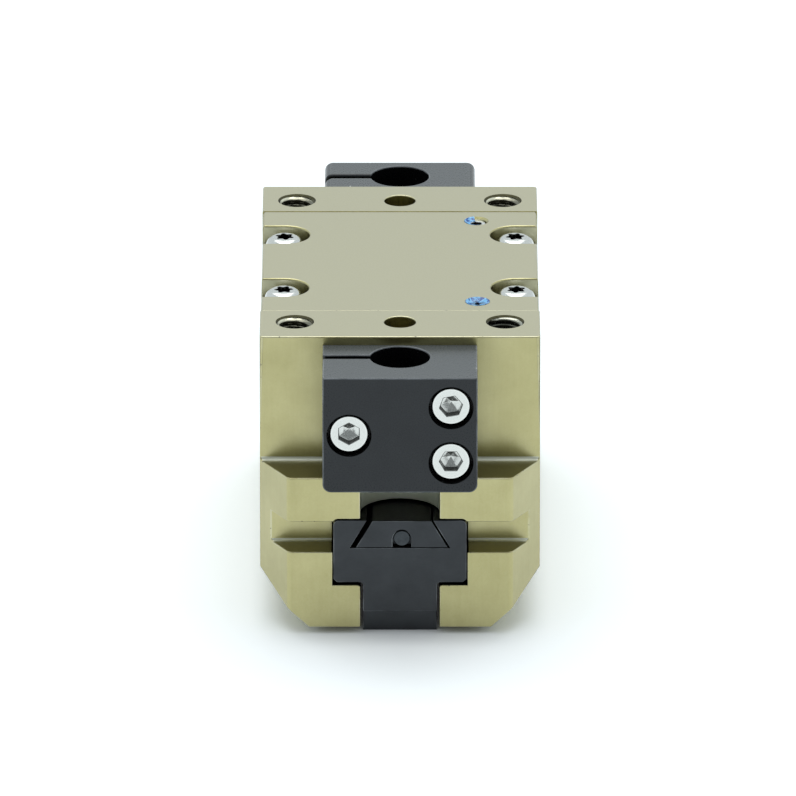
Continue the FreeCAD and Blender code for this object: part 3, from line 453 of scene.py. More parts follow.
def staysCrisp(edge, node):
    # Whether this edge of the body, a clamp or a cam is left as it is. On the body that is also the corner
    # below the lands' level, where the taper starts.
    middle = edgeMiddle(edge)
    x, y, z = middle
    if node == "housing":
        reach = edgeBreak["jointReach"]
        inJoint = np.all((middle > coverBox[0] - reach) & (middle < coverBox[1] + reach))
        away = max(abs(abs(x) - taper["side"]), abs(abs(y) - taper["wall"]))
        return inJoint or (away < taper["reach"] and z < taper["level"] - taper["below"])
    if node.startswith("bracket"):
        return any(math.hypot(x - boreX, z - boreZ) < reach for boreX, boreZ, reach in counterbores)
    low, high = boxMm(node)
    margin = edgeBreak["recessMargin"]
    return node.startswith("cam") and np.all((middle > low + margin) & (middle < high - margin))


def uprightCorner(edge):
    # A long upright outer corner of the body, rounded more than the rest
    run = edge.verts[1].co - edge.verts[0].co
    return (abs(run.z) > uprightEdge["shortest"] * mm and abs(run.z) > uprightEdge["lean"] * run.length
            and min(abs(v.co.x) for v in edge.verts) > uprightEdge["from"] * mm)


def pocketCorner(edge):
    # The upper edge of a screw pocket in the cover, clear of the port plugs
    x, y = edgeMiddle(edge)[:2]
    lowest = min(v.co.z for v in edge.verts) / mm
    return (lowest > coverBox[1][2] - pocketEdge["depth"] and abs(y) < coverBox[1][1] - pocketEdge["rim"]
            and pocketEdge["from"] < abs(x) < pocketEdge["to"]
            and min(math.hypot(x - plug[0], y - plug[1]) for plug in plugPlaces) > pocketEdge["clear"])


def convexEdges(work, degrees):
    # Outer edges between two faces that meet at more than this angle
    return [e for e in work.edges
            if len(e.link_faces) == 2 and e.is_convex and e.calc_face_angle() > math.radians(degrees)]


def roundOver(work, edges, width, segments):
    # Rounds the edges over and gives the faces that this makes
    made = bmesh.ops.bevel(work, geom=edges, offset=width * mm, offset_type="OFFSET", segments=segments,
                           profile=0.5, affect="EDGES", clamp_overlap=False)
    return made["faces"]


def cutFaces(work, faces, through, across):
    # Cuts these faces along a plane and gives the points and edges of the cut
    edges = list({e for f in faces for e in f.edges})
    verts = list({v for f in faces for v in f.verts})
    cut = bmesh.ops.bisect_plane(work, geom=faces + edges + verts, dist=edgeBreak["weld"] * mm,
                                 plane_co=through, plane_no=across)
    return cut["geom_cut"]


def cutSeams(work):
    # The mounting face and the end walls are cut through their holes' middles, so that no edge which joins a
    # hole to the outline runs to a corner, where the rounding would tear
    row = mounts["mounting_threads"]["dims"]["spacing_y_mm"] / 2
    columns = {round(x, 3) for x, z, reach in counterbores}
    for out, level, axis, places in ((2, bodyTop, 1, (-row, row)), (1, wallY, 0, columns)):
        for place in places:
            faces = [f for f in work.faces if abs(f.normal[out]) > facing["exactly"]
                     and abs(abs(f.calc_center_median()[out]) - level * mm) < touching * mm]
            through = [place * mm if i == axis else 0.0 for i in range(3)]
            across = [1.0 if i == axis else 0.0 for i in range(3)]
            for item in cutFaces(work, faces, through, across):
                if isinstance(item, bmesh.types.BMEdge):
                    item.seam = True


def drawTapers(work):
    # The lands' tapered corners are drawn out to the body's sides, so that the eye gets one smooth band.
    # Each point moves outward by a share that falls evenly to nothing at the land's end.
    corner = [v for v in work.verts if abs(abs(v.co.x) - taper["side"] * mm) < touching * mm
              and abs(abs(v.co.y) - taper["wall"] * mm) < touching * mm]
    cutFaces(work, list({f for v in corner for f in v.link_faces}), (0, 0, taper["level"] * mm), (0, 0, 1))
    for vert in work.verts:
        x, y, z = abs(vert.co.x) / mm, abs(vert.co.y) / mm, vert.co.z / mm
        within = taper["inner"] < x < taper["side"] - touching and y > taper["wall"] - touching
        if within and z < taper["level"] + touching:
            share = taper["draw"] * (taper["end"] - y) / (taper["end"] - taper["wall"])
            vert.co.x += math.copysign(share * mm, vert.co.x)
            if z < taper["footLevel"]:
                vert.co.z += share * taper["footSlope"] * mm


def cornerNormals(work):
    # Flat faces keep their own direction right to their edges. A face that rounds an edge takes the direction
    # of the flat face it meets there, and between curved faces the directions are averaged by area.
    sameWay = 0.99996    # cosine between faces that count as one plane
    flatArea = 3         # a flat face is this many times the size of the curved faces beside it
    area = {face: face.calc_area() for face in work.faces}

    def across(face, edge):
        return [other for other in edge.link_faces if other is not face and edge.smooth]

    def bends(face, other):
        return face.normal.dot(other.normal) < sameWay

    flat = set()
    for face in work.faces:
        curved = [area[o] for e in face.edges for o in across(face, e) if bends(face, o)]
        if area[face] >= flatArea * max(curved, default=0.0):
            flat.add(face)
    normals = []
    for face in work.faces:
        for loop in face.loops:
            if face in flat:
                normals.append(face.normal.normalized())
                continue
            sides = (loop.edge, loop.link_loop_prev.edge)
            met = [o.normal for e in sides for o in across(face, e) if o in flat]
            if not met:
                fan, waiting = {face}, [face]
                while waiting:
                    here = waiting.pop()
                    for edge in loop.vert.link_edges:
                        if edge in here.edges:
                            new = [o for o in across(here, edge) if o not in fan and o not in flat]
                            fan.update(new)
                            waiting += new
                met = [o.normal * area[o] for o in fan]
            total = met[0].copy()
            for normal in met[1:]:
                total += normal
            normals.append(total.normalized() if total.length > 0 else face.normal.normalized())
    return [tuple(normal) for normal in normals]


# Where the body's painted shade and painted light lie, and how strongly
bodyShading = {"guideGap": 0.3, "wallDepth": 0.5, "sole": 1.3, "roof": 6.0, "lip": 0.2,
            "pocketFrom": 11.0, "pocketTo": 24.0, "pocketFloor": 0.4, "pocketSides": 0.35, "pocketEnds": 0.6,
            "mouths": {"mounting_threads": 0.85, "locating_holes": 0.0}, "mouthGap": 0.3, "mouthDrop": 0.02,
            "tipMargin": (1.6, 2.0, 2.0), "fillet": 0.8, "filletFrom": -0.1, "filletTo": 5.0,
            "filletTop": 25.0, "filletTurn": (0.1, 0.99), "filletAside": 0.05}


def bodyMarks(node, centres, normals):
    # Painted shade on what lies behind the end walls, on the T-slot's sliding faces, in the holes' mouths and
    # in the cover's pockets, most at their round ends; painted light, on rougher bare metal, round the
    # openings for the sensors' tips, as highlight lines in the lands' fillets and on the pockets' straight
    # sides; a painted reflection, greyer and paler, on the mounting face
    shading = bodyShading
    x, y, z = np.abs(centres.T)
    aside, outward, up = np.abs(normals[:, 0]), normals[:, 1] * np.sign(centres[:, 1]), normals[:, 2]
    guide = boxMm("jaw_front")[1] + shading["guideGap"]
    inside = (x < guide[0]) & (y < wallY - shading["wallDepth"])
    inside &= (z > shading["sole"]) & (z < bodyTop - shading["roof"])
    sliding = (x < guide[0]) & (z < guide[2]) & (np.maximum(aside, up) > facing["mostly"])
    # Painted shade behind the end walls and on the T-slot's sliding faces
    paintedShade = np.where(inside | sliding, 1.0, 0.0)
    pocket = (x > shading["pocketFrom"]) & (y < shading["pocketTo"]) & (z > bodyTop - shading["roof"])
    pocket &= (z < bodyTop - shading["lip"]) & (node == "cover_plate")
    paintedShade = np.where(pocket & (up > facing["straight"]), shading["pocketFloor"], paintedShade)
    # Painted shade in the threaded holes' mouths
    for name, share in shading["mouths"].items():
        for centre in patternCentres(mounts[name]):
            apart = np.hypot(centres[:, 0] - centre[0], centres[:, 1] - centre[1])
            near = apart < mounts[name]["dims"]["hole_r_mm"] + shading["mouthGap"]
            paintedShade = np.where(near & (z < bodyTop - shading["mouthDrop"]), share, paintedShade)
    bareAndLit = np.zeros(len(centres))
    margin = np.array(shading["tipMargin"])
    for opening in frame["record"]["physics"]["openings"]:
        low, high = np.array(opening["box_m"]) / mm
        # Painted light, on rougher bare metal, round the sensor slot openings
        bareAndLit = np.where(np.all((centres > low - margin) & (centres < high + margin), 1), 1.0, bareAndLit)
    least, most = shading["filletTurn"]
    turning = (aside < shading["filletAside"]) & (outward > least) & (outward < most) & (up > least)
    onLand = (y > wallY + shading["filletFrom"]) & (y < wallY + shading["filletTo"]) & (z < shading["filletTop"])
    # Painted highlight: the middle of the lands' fillets
    bareAndLit = np.where(turning & onLand, shading["fillet"], bareAndLit)
    sides = pocket & (np.abs(up) < facing["hardly"])
    # Painted highlight on the pockets' straight sides, painted shade at their round ends
    bareAndLit = np.where(sides, shading["pocketSides"] * (1 - aside), bareAndLit)
    paintedShade = np.where(sides, shading["pocketEnds"] * aside, paintedShade)
    # Painted reflection: the mounting face, greyer and paler
    paintedTopSheen = np.where((up > facing["straight"]) & (z > bodyTop - shading["lip"]), 1.0, 0.0)
    return {"paintedShade": paintedShade * (1 - bareAndLit), "bareAndLit": bareAndLit, "paintedTopSheen": paintedTopSheen}


clampShading = {"skin": 0.3, "hollow": 0.95, "dustAndLight": 0.7}


def clampMarks(node, centres, normals):
    # Painted shade, near black, in the clamp's bore, slit and counterbores: all that lies inside its outer
    # faces.
    # On its top, a grey film of painted light, where the dust specks may also lie.
    low, high = boxMm(node)
    within = np.all((centres > low + clampShading["skin"]) & (centres < high - clampShading["skin"]), 1)
    return {"paintedShade": np.where(within, clampShading["hollow"], 0.0),
            "dustAndTopLight": np.where(normals[:, 2] > facing["straight"], clampShading["dustAndLight"], 0.0)}


guideShade = 0.95


def guideMarks(node, centres, normals):
    # Painted shade on the upward guide faces, and under the cams
    under = (normals[:, 2] < -facing["hardly"]) & node.startswith("cam")
    return {"paintedShade": np.where((normals[:, 2] > facing["mostly"]) | under, guideShade, 0.0)}


marksOf = {"anodised": bodyMarks, "black": clampMarks, "jaw": guideMarks}


def edgedCopy(node, finish, width):
    # A copy of the CAD piece with its faces merged and its outer corners rounded over, which an attribute
    # marks so that the finish can rub them paler, partly real rubbing and partly a painted highlight. Inner
    # corners stay crisp.
    source = nodes[node]
    mesh = source.data.copy()
    mesh.name = node + "_edged"
    work = bmesh.new()
    work.from_mesh(mesh)
    bmesh.ops.remove_doubles(work, verts=work.verts, dist=edgeBreak["weld"] * mm)
    if node == "housing":
        cutSeams(work)
    bmesh.ops.dissolve_limit(work, angle_limit=math.radians(edgeBreak["mergeDeg"]), verts=work.verts,
                             edges=work.edges, delimit={"SEAM"})
    if node == "housing":
        drawTapers(work)
        upright = [e for e in convexEdges(work, edgeBreak["cornerDeg"])
                   if uprightCorner(e) and not staysCrisp(e, node)]
        roundOver(work, upright, uprightEdge["round"], uprightEdge["segments"])
    if node == "cover_plate":
        mouths = [e for e in convexEdges(work, edgeBreak["steepDeg"]) if pocketCorner(e)]
        roundOver(work, mouths, pocketEdge["round"], pocketEdge["segments"])
    steep, shortest = math.radians(edgeBreak["steepDeg"]), edgeBreak["shortest"] * mm
    rounded = [e for e in convexEdges(work, edgeBreak["cornerDeg"]) if not staysCrisp(e, node)
               and (e.calc_face_angle() > steep or e.calc_length() > shortest)]
    for edge in work.edges:
        if len(edge.link_faces) == 2 and edge.calc_face_angle() > math.radians(edgeBreak["cornerDeg"]):
            edge.smooth = False
    for edge in rounded:
        edge.smooth = True
    wornAndLit = work.faces.layers.float.new("wornAndLit")
    for face in roundOver(work, rounded, width, edgeBreak["segments"]):
        face[wornAndLit] = 1.0
    low, high = boxMm(node)
    for vert in work.verts:
        vert.co.x = min(max(vert.co.x, low[0] * mm), high[0] * mm)
    work.normal_update()
    steady = cornerNormals(work)
    work.to_mesh(mesh)
    work.free()
    mesh.shade_smooth()
    mesh.normals_split_custom_set(steady)
    if finish in marksOf:
        centres = np.empty(3 * len(mesh.polygons))
        normals = np.empty(3 * len(mesh.polygons))
        mesh.polygons.foreach_get("center", centres)
        mesh.polygons.foreach_get("normal", normals)
        marks = marksOf[finish](node, centres.reshape(-1, 3) / mm, normals.reshape(-1, 3))
        for mark, values in marks.items():
            mesh.attributes.new(mark, "FLOAT", "FACE").data.foreach_set("value", values)
    addPiece(mesh.name, mesh, finish, source["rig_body"], node)


# Finish, material slot and the width of the edge breaks
machined = {
    "housing": ("anodised", "anodised_body", 0.18),
    "cover_plate": ("anodised", "anodised_body", 0.12),
    "bracket_front": ("black", "bracket_aluminium", 0.2),
    "bracket_rear": ("black", "bracket_aluminium", 0.2),
    "jaw_front": ("jaw", "jaw_steel", 0.1),
    "jaw_rear": ("jaw", "jaw_steel", 0.1),
    "cam_front": ("jaw", "jaw_steel", 0.1),
    "cam_rear": ("jaw", "jaw_steel", 0.1),
    "wedge_hook": ("wedge", "wedge_steel", 0.1),
}
for node, (finish, slotName, width) in machined.items():
    edgedCopy(node, finish, width)
print("machined pieces edged:", len(machined))

for node, finish in (("piston", "piston"), ("piston_seal", "rubber"), ("rod_seal", "rubber"),
                     ("cover_seal", "rubber")):
    nodes[node].data.materials.clear()
    nodes[node].data.materials.append(finishes[finish])

capScrew = {"head": 5.5, "height": 3.0, "hex": 2.85, "hexDepth": 1.5, "cone": 0.6, "mouth": 0.1,
            "litBand": 0.3, "topShade": 0.09, "wallShade": (0.7, 1.0), "floorShade": 0.15,
            "rim": 0.15, "rimCurve": ((0.1, 1.1), (0.4, 0.45), (1.0, 0.0)), "knurls": 36, "knurlDepth": 0.09,
            "shank": 2.9, "length": 18.0, "tip": 0.4, "spins": {"upper": 10, "lower": 0, "clamp": 30}}


def capScrewRings(size, spinDeg):
    # Socket cap screw, top at Z = 0: tip, shank, head whose knurls are a cosine of the angle, rounded rim,
    # hexagon socket, drilled cone. The rim's curve is counted in rims, inward and down.
    head, shank, rim, tip = size["head"] / 2, size["shank"] / 2, size["rim"], size["tip"]
    knurled = head - size["knurlDepth"] * (0.5 - 0.5 * np.cos(size["knurls"] * theta))
    socket = hexagon(size["hex"], spinDeg)
    foot, bottom = -size["height"], -size["hexDepth"]
    end = foot - size["length"]
    outside = [(shank - tip, end), (shank, end + tip), (shank, foot), (head - rim, foot),
               (knurled, foot + rim), (knurled, -2 * rim)]
    curve = [(head - inward * rim, -down * rim) for inward, down in size["rimCurve"]]
    # Painted shade: the flat top a little, so that the rim reads as a highlight, and the socket's walls and
    # floor much more
    top = [(head - rim - size["litBand"], 0.0, size["topShade"]), (socket + size["mouth"], 0.0, size["topShade"])]
    hollow = [(socket, -size["mouth"], size["wallShade"][0]), (socket, bottom, size["wallShade"][1]),
              (socket * 0.99, bottom, size["floorShade"]), (socket * 0.5, bottom - 0.5 * size["cone"]),
              (socket * innermost, bottom - size["cone"])]
    return turned(outside + curve + top + hollow)


for end, outward in outwardOf.items():
    low, high = boxMm(f"bracket_screws_{end}")
    x, y = outerPlace(f"bracket_screws_{end}", end)[:2]
    reach = capScrew["head"] / 2
    holding = []
    for level, spin in ((high[2] - reach, "upper"), (low[2] + reach, "lower")):
        rings = capScrewRings(capScrew, capScrew["spins"][spin])
        holding.append(ringLoft(placed(rings, (x, y, level), outward)))
    makePiece(f"holding_screws_{end}", holding, "screw", "body", f"bracket_screws_{end}")
    rings = capScrewRings(capScrew, capScrew["spins"]["clamp"])
    rings = placed(rings, outerPlace(f"clamp_screw_{end}", end), outward)
    makePiece(f"slit_screw_{end}", [ringLoft(rings)], "screw", "body", f"clamp_screw_{end}")

wedgeScrew = dict(capScrew, head=7.0, height=4.0, hex=3.3, hexDepth=2.0, shank=3.9, length=10.0)
low, high = boxMm("wedge_screw")
centre = (low + high) / 2
rings = placed(capScrewRings(wedgeScrew, 0), (centre[0], centre[1], low[2]), (0, 0, -1))
makePiece("wedge_screw_knurled", [ringLoft(rings)], "screw", "piston_unit", "wedge_screw")
print("socket cap screws made")

panScrew = {"head": 5.6, "height": 2.4, "skirt": 0.35, "flat": 1.25, "fullness": 2.4, "topShade": 0.24,
            "lobeTip": 2.7, "lobeRoot": 1.9, "lobeDepth": 1.1, "lobeRim": 0.1, "lobeBreak": (0.04, 0.05),
            "bowl": (0.15, 0.2), "breakShade": 0.8, "shank": 2.9, "length": 9.0, "tip": 0.4,
            "spins": (10, 25, 40, 5)}


def panScrewRings(size, spinDeg):
    # Pan-head screw, top at Z = 0: a short skirt, a quarter superellipse up to a flat, a six-lobe recess
    head, shank, tip, flat = size["head"] / 2, size["shank"] / 2, size["tip"], size["flat"]
    foot, bottom, topShade = -size["height"], -size["lobeDepth"], size["topShade"]
    end = foot - size["length"]
    rise = size["height"] - size["skirt"]
    power = 2 / size["fullness"]
    # Painted shade: the dome darkens towards its top, so that its foot reads as the bright part
    dome = [(flat + (head - flat) * math.cos(bow) ** power,
             foot + size["skirt"] + rise * math.sin(bow) ** power, topShade * math.sin(bow))
            for bow in np.linspace(0, np.pi / 2, 16)[:-1]]
    lobes = sixLobe(size["lobeTip"], size["lobeRoot"], spinDeg)
    outside = [(shank - tip, end), (shank, end + tip), (shank, foot), (head, foot)]
    (breakWidth, breakDepth), (bowl, bowlMiddle) = size["lobeBreak"], size["bowl"]
    # Painted shade: the recess near black
    recess = [(np.maximum(flat, lobes + size["lobeRim"]), 0.0, topShade), (lobes + breakWidth, 0.0, topShade),
              (lobes, -breakDepth, size["breakShade"]), (lobes, bottom, 1.0),
              (lobes * 0.5, bottom - bowl, 1.0), (lobes * innermost, bottom - bowlMiddle, 1.0)]
    return turned(outside + dome + recess)


low, high = boxMm("cover_screws")
reach = panScrew["head"] / 2
corners = [(x, y) for x in (high[0] - reach, low[0] + reach) for y in (high[1] - reach, low[1] + reach)]
heads = []
for (x, y), spin in zip(corners, panScrew["spins"]):
    heads.append(ringLoft(placed(panScrewRings(panScrew, spin), (x, y, high[2]), (0, 0, 1))))
makePiece("cover_pan_screws", heads, "screw", "body", "cover_screws")
print("pan-head screws made")

camScrew = {"bevel": 0.12}


def flatPointRings(diameter, length):
    # Headless screw that shows its flat point at Z = 0: a plain end with a narrow bevel
    radius, bevel = diameter / 2, camScrew["bevel"]
    return turned([(radius - bevel, -length), (radius, -length + bevel), (radius, -bevel),
                   (radius - bevel, 0.0), (radius * innermost, 0.0)])


for end, outward in outwardOf.items():
    low, high = boxMm(f"cam_screw_{end}")
    rings = flatPointRings(high[2] - low[2], high[1] - low[1])
    rings = placed(rings, outerPlace(f"cam_screw_{end}", end), outward)
    makePiece(f"cam_grub_screw_{end}", [ringLoft(rings)], "darkScrew", f"{end}_jaw",
              f"cam_screw_{end}")

portPlug = {"rim": 0.18, "mouth": 0.08, "hex": 1.5, "hexDepth": 1.4, "drill": 0.25, "mouthShade": 0.4,
            "spins": {"front": 12, "rear": 40}}


def portPlugRings(diameter, length, size, spinDeg):
    # Headless screw, outer end at Z = 0: chamfered ends, a hexagon socket with a drilled floor
    radius, rim, mouth, bottom = diameter / 2, size["rim"], size["mouth"], -size["hexDepth"]
    socket = hexagon(size["hex"], spinDeg)
    # Painted shade in the socket
    return turned([(radius - rim, -length), (radius, -length + rim), (radius, -rim), (radius - rim, 0.0),
                   (socket + mouth, 0.0), (socket, -mouth, size["mouthShade"]), (socket, bottom, 1.0),
                   (socket * innermost, bottom - size["drill"], 1.0)])


for end in outwardOf:
    low, high = boxMm(f"port_plug_{end}")
    rings = portPlugRings(high[0] - low[0], high[2] - low[2], portPlug, portPlug["spins"][end])
    rings = placed(rings, topPlace(f"port_plug_{end}"), (0, 0, 1))
    makePiece(f"port_grub_screw_{end}", [ringLoft(rings)], "plug", "body", f"port_plug_{end}")
print("set screws made")

sealant = {"thickness": 0.07, "seat": 1.45, "mouth": 1.72, "spread": 0.04, "around": 96, "sharpDeg": 60,
           "bead": 0.12, "seatGap": 0.1, "lipGap": 0.05, "sunk": 0.02, "innerWaver": 0.06, "thickWaver": 0.25,
           "shares": (0.4, 1.0, 1.2, 0.3, 0.5, 0.15), "deepFrom": 0.95, "deepRun": 0.3,
           "inner": {"front": 0.4, "rear": 0.85}, "arcs": {"front": (0, 360), "rear": (100, 285)}}


def sealantFilm(fromDeg, toDeg, reach, depth):
    # A film over the plug's rim: a profile from the socket's edge up the countersink and over its lip,
    # carried round the axis, with a thickness and a reach that waver with the angle. Its upper heights are
    # shares of the thickness, and it is painted deeper blue towards the socket, a painted shade.
    angle = np.radians(np.linspace(fromDeg, toDeg, sealant["around"]))
    waver = np.sin(3 * angle + 0.6) + 0.6 * np.sin(7 * angle + 2.0)
    inner = reach + sealant["innerWaver"] * np.sin(5 * angle + 1.0)
    outer = sealant["mouth"] + sealant["spread"] * (0.6 + 0.3 * waver)
    thick = sealant["thickness"] * (1 + sealant["thickWaver"] * np.sin(4 * angle + 0.3))
    seat, lip, sunk = [0 * angle + size for size in (sealant["seat"], sealant["mouth"], -sealant["sunk"])]
    edge, bead, crown, rise, brim, feather = [share * thick for share in sealant["shares"]]
    upper = [(inner, edge - depth), (inner + sealant["bead"], bead - depth),
             (seat - sealant["seatGap"], crown - depth), (lip - sealant["lipGap"], rise),
             ((lip + outer) / 2, brim), (outer, feather)]
    under = [(outer, sunk), (lip, 2 * sunk), (seat, sunk - depth), (inner, sunk - depth)]
    radii = np.stack([radius for radius, height in upper + under], 1)
    heights = np.stack([height for radius, height in upper + under], 1)
    sweep = angle[:, None]
    nearSocket = np.clip((sealant["deepFrom"] - radii) / sealant["deepRun"], 0, 1)
    deep = nearSocket * (0.6 + 0.4 * np.sin(4 * sweep + 0.5))
    return np.stack([radii * np.cos(sweep), radii * np.sin(sweep), heights, deep], -1)[::-1]


coverTop = coverBox[1][2]
for end, (fromDeg, toDeg) in sealant["arcs"].items():
    x, y, plugTop = topPlace(f"port_plug_{end}")
    film = sealantFilm(fromDeg, toDeg, sealant["inner"][end], coverTop - plugTop)
    whole = toDeg - fromDeg == 360
    rings = film[:-1] if whole else film
    makePiece(f"port_sealant_{end}", [ringLoft(rings + np.array((x, y, coverTop, 0)), whole)],
              "sealant", "body", None, sealant["sharpDeg"])
print("sealant made")

threadForm = {"rows": 10, "rootGap": 0.03, "height": 0.54, "wallGap": 0.004, "endGap": 0.3, "sharpDeg": 40,
              "clean": 0.4, "shadeRun": 0.25, "deepest": 0.74}
threads = {
    "mount": dict(pitch=0.8, depth=10.0, start=0.26, lead=0.65, first=0.3, blend=0.45, round=1.0),
    "wire": dict(pitch=0.8, depth=10.0, start=0.26, lead=0.44, first=0.42, blend=0.06, round=0.5),
    "finger": dict(pitch=0.7, depth=7.0, start=0.1, lead=0.0, first=0.1, blend=0.6, round=1.0),
    "port": dict(pitch=0.8, depth=6.0, start=0.1, lead=0.0, first=0.1, blend=0.6, round=1.0),
}


def threadSleeve(diameter, form):
    # Inner thread as a closed sleeve: the radius falls from root to crest with a flat-topped triangle wave of
    # height over pitch minus turns. Counted along the thread, it fades out near the mouth. Painted shade
    # grows with depth, and the outer wall lies in the hole's wall.
    pitch, turns = form["pitch"], theta / (2 * np.pi)
    rows = int(form["depth"] / pitch * threadForm["rows"])
    height = np.linspace(-form["start"], threadForm["endGap"] - form["depth"], rows)[:, None]
    climb = height / pitch - turns + form["lead"]
    wave = np.clip((1 - np.abs(2 * np.mod(climb, 1) - 1)) * 1.5 - 0.25, 0, 1) ** form["round"]
    along = np.floor(climb) + turns
    last = form["lead"] - form["first"] / pitch - 0.5
    ease = np.clip((last - along) / form["blend"], 0, 1)
    radius = diameter / 2 - threadForm["rootGap"] - threadForm["height"] * pitch * wave * ease
    shadedDeep = np.clip((-height - threadForm["clean"]) / threadForm["shadeRun"], 0, threadForm["deepest"])
    inner = np.stack([radius * np.cos(theta), radius * np.sin(theta), height + 0 * radius,
                      shadedDeep + 0 * radius], -1)
    outer = diameter / 2 - threadForm["wallGap"]
    return np.concatenate([inner, turned([(outer, height[-1, 0], 1.0), (outer, height[0, 0], 1.0)])])


def threadParts(kind, centres, diameter, outward):
    # The same thread in each of these holes
    rings = threadSleeve(diameter, threads[kind])
    return [ringLoft(placed(rings, centre, outward), True) for centre in centres]


mount = mounts["mounting_threads"]
bore = 2 * mount["dims"]["hole_r_mm"]
centres = patternCentres(mount)
repaired = [c for c in centres if c[0] > 0 and c[1] < 0]   # this hole holds a steel wire insert
cutThreads = [c for c in centres if not (c[0] > 0 and c[1] < 0)]
makePiece("mounting_thread_turns", threadParts("mount", cutThreads, bore, (0, 0, 1)), "cutThread", "body",
          None, threadForm["sharpDeg"])
makePiece("mounting_wire_insert", threadParts("wire", repaired, bore, (0, 0, 1)), "wire", "body",
          None, threadForm["sharpDeg"])
for end in outwardOf:
    mount = mounts[f"finger_threads_{end}"]
    bore = 2 * mount["dims"]["hole_r_mm"]
    makePiece(f"finger_thread_turns_{end}", threadParts("finger", patternCentres(mount), bore, (0, 0, -1)),
              "jaw", f"{end}_jaw", None, threadForm["sharpDeg"])
    mount = mounts[f"air_port_{end}"]
    mouth = np.array(mount["pos_m"]) / mm
    mouth[0] = boxMm("housing")[1][0]
    makePiece(f"air_port_turns_{end}", threadParts("port", [mouth], 2 * mount["dims"]["r_mm"], (1, 0, 0)),
              "anodised", "body", None, threadForm["sharpDeg"])
print("threads made")


def seenRays(tree):
    # One for rays that see a thing, straight or in a reflection, and nothing for those that only carry light
    rays = addNode(tree, "LightPath", {}, {}).outputs
    seen = rays["Is Camera Ray"]
    for kind in ("Is Glossy Ray", "Is Transmission Ray"):
        seen = addNode(tree, "Math", {"operation": "MAXIMUM"}, {0: seen, 1: rays[kind]}).outputs["Value"]
    return seen


# Floor: white paper that keeps the shadow and looks white to the camera and in reflections
floorLook = {"half": 3.0, "drop": 0.02, "paper": "#eff5f7", "lift": 0.3, "shade": 6.5}   # half is in metres
side = floorLook["half"]
level = -floorLook["drop"] * mm
floorMesh = bpy.data.meshes.new("floor")
floorMesh.from_pydata([(x, y, level) for y in (-side, side) for x in (-side, side)], [], [(0, 1, 3, 2)])
floor = bpy.data.objects.new("floor", floorMesh)
scene.collection.objects.link(floor)
paper = bpy.data.materials.new("whitePaper")
paper.use_nodes = True
tree = paper.node_tree
tree.nodes.remove(tree.nodes["Principled BSDF"])
seen = seenRays(tree)
# Painted shade: the glow fades near the object by ambient occlusion, a painted contact shadow over the real
# one
clear = addNode(tree, "AmbientOcclusion", {"samples": 8, "Distance": floorLook["shade"] * mm},
                {}).outputs["AO"]
lit = addNode(tree, "Math", {"operation": "MULTIPLY"}, {0: seen, 1: clear}).outputs["Value"]
glow = addNode(tree, "Math", {"operation": "MULTIPLY", 1: floorLook["lift"]}, {0: lit}).outputs["Value"]
matt = addNode(tree, "BsdfDiffuse", {"Color": hexLinear(floorLook["paper"])}, {})
lifted = addNode(tree, "Emission", {}, {"Strength": glow})
both = addNode(tree, "AddShader", {}, {0: matt.outputs[0], 1: lifted.outputs[0]})
tree.links.new(both.outputs[0], tree.nodes["Material Output"].inputs["Surface"])
floorMesh.materials.append(paper)

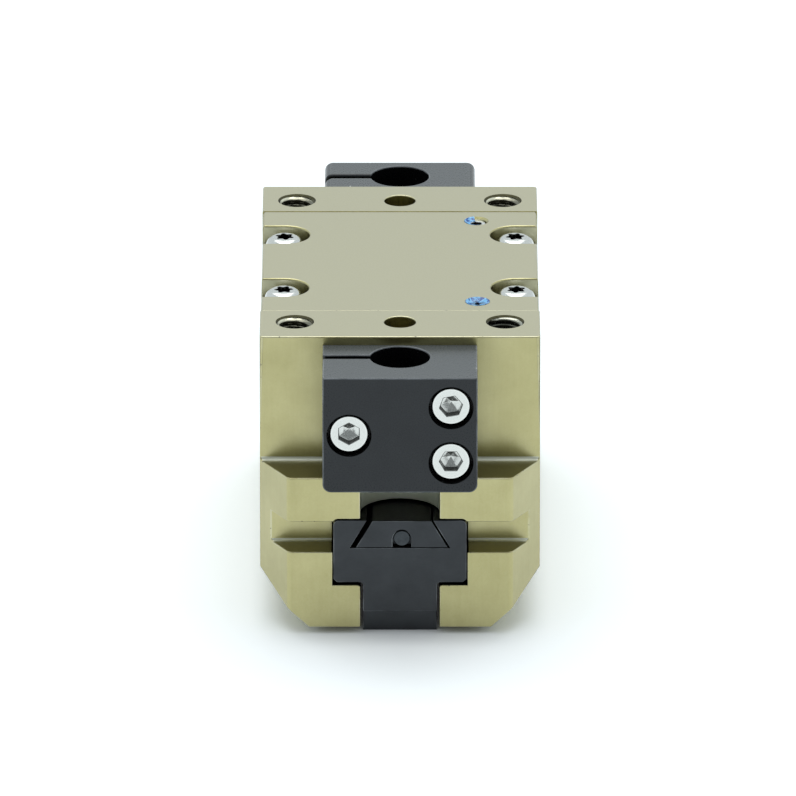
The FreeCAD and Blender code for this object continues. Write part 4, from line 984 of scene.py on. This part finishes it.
# Light: a white surround that dims towards the viewer's side, and one large soft lamp overhead.
# The lamp's size and places are in metres.
studio = {"tint": "#f2fbff", "behind": 1.0, "before": 0.28, "fade": (-0.95, 0.2), "surround": 0.75,
          "lampPower": 10.0, "lampSize": 1.2, "lampPlace": (-0.03, 0.32, 1.3), "lampTarget": (0.0, 0.0, 0.03)}
world = bpy.data.worlds.new("whiteSurround")
scene.world = world
world.use_nodes = True
tree = world.node_tree
seen = seenRays(tree)
direct = addNode(tree, "LightPath", {}, {}).outputs["Is Camera Ray"]
bright = addNode(tree, "MapRange", {3: studio["surround"], 4: 1.0}, {"Value": seen}).outputs["Result"]
direction = addNode(tree, "TexCoord", {}, {}).outputs["Generated"]
depth = addNode(tree, "SeparateXYZ", {}, {0: direction}).outputs["Y"]
shade = addNode(tree, "MapRange",
                {"interpolation_type": "SMOOTHSTEP", 1: studio["fade"][0], 2: studio["fade"][1],
                 3: studio["before"], 4: studio["behind"]}, {"Value": depth}).outputs["Result"]
shaded = addNode(tree, "Math", {"operation": "MULTIPLY"}, {0: bright, 1: shade}).outputs["Value"]
strength = addNode(tree, "Math", {"operation": "MAXIMUM"}, {0: shaded, 1: direct}).outputs["Value"]
tint = addNode(tree, "Mix",
               {"data_type": "RGBA", 6: hexLinear(studio["tint"]), 7: (1, 1, 1, 1)}, {0: direct}).outputs[2]
tree.links.new(tint, tree.nodes["Background"].inputs["Color"])
tree.links.new(strength, tree.nodes["Background"].inputs["Strength"])
lampData = bpy.data.lights.new("softLamp", "AREA")
lampData.energy = studio["lampPower"]
lampData.size = studio["lampSize"]
lamp = bpy.data.objects.new("softLamp", lampData)
lamp.location = studio["lampPlace"]
towards = np.array(studio["lampTarget"]) - np.array(studio["lampPlace"])
tilt = math.atan2(math.hypot(towards[0], towards[1]), -towards[2])
lamp.rotation_euler = (tilt, 0.0, math.atan2(towards[1], towards[0]) - math.pi / 2)
scene.collection.objects.link(lamp)

# Camera: fitted to the picture, end-on and 21 degrees above the floor, from far off
view = {"target": (-0.28, -31.0, 33.25), "elevation": 21.0, "distance": 2140.0, "lens": 679.0, "sensor": 36.0,
        "farthest": 20000.0}
lift = math.radians(view["elevation"])
away = np.array((0.0, -math.cos(lift), math.sin(lift))) * view["distance"]
cameraData = bpy.data.cameras.new("camera")
cameraData.lens = view["lens"]
cameraData.sensor_width = view["sensor"]
cameraData.clip_end = view["farthest"] * mm
camera = bpy.data.objects.new("camera", cameraData)
camera.location = ((np.array(view["target"]) + away) * mm).tolist()
camera.rotation_euler = (math.pi / 2 - lift, 0.0, 0.0)
scene.collection.objects.link(camera)
scene.camera = camera
scene.view_settings.view_transform = "Standard"
print("stage set")
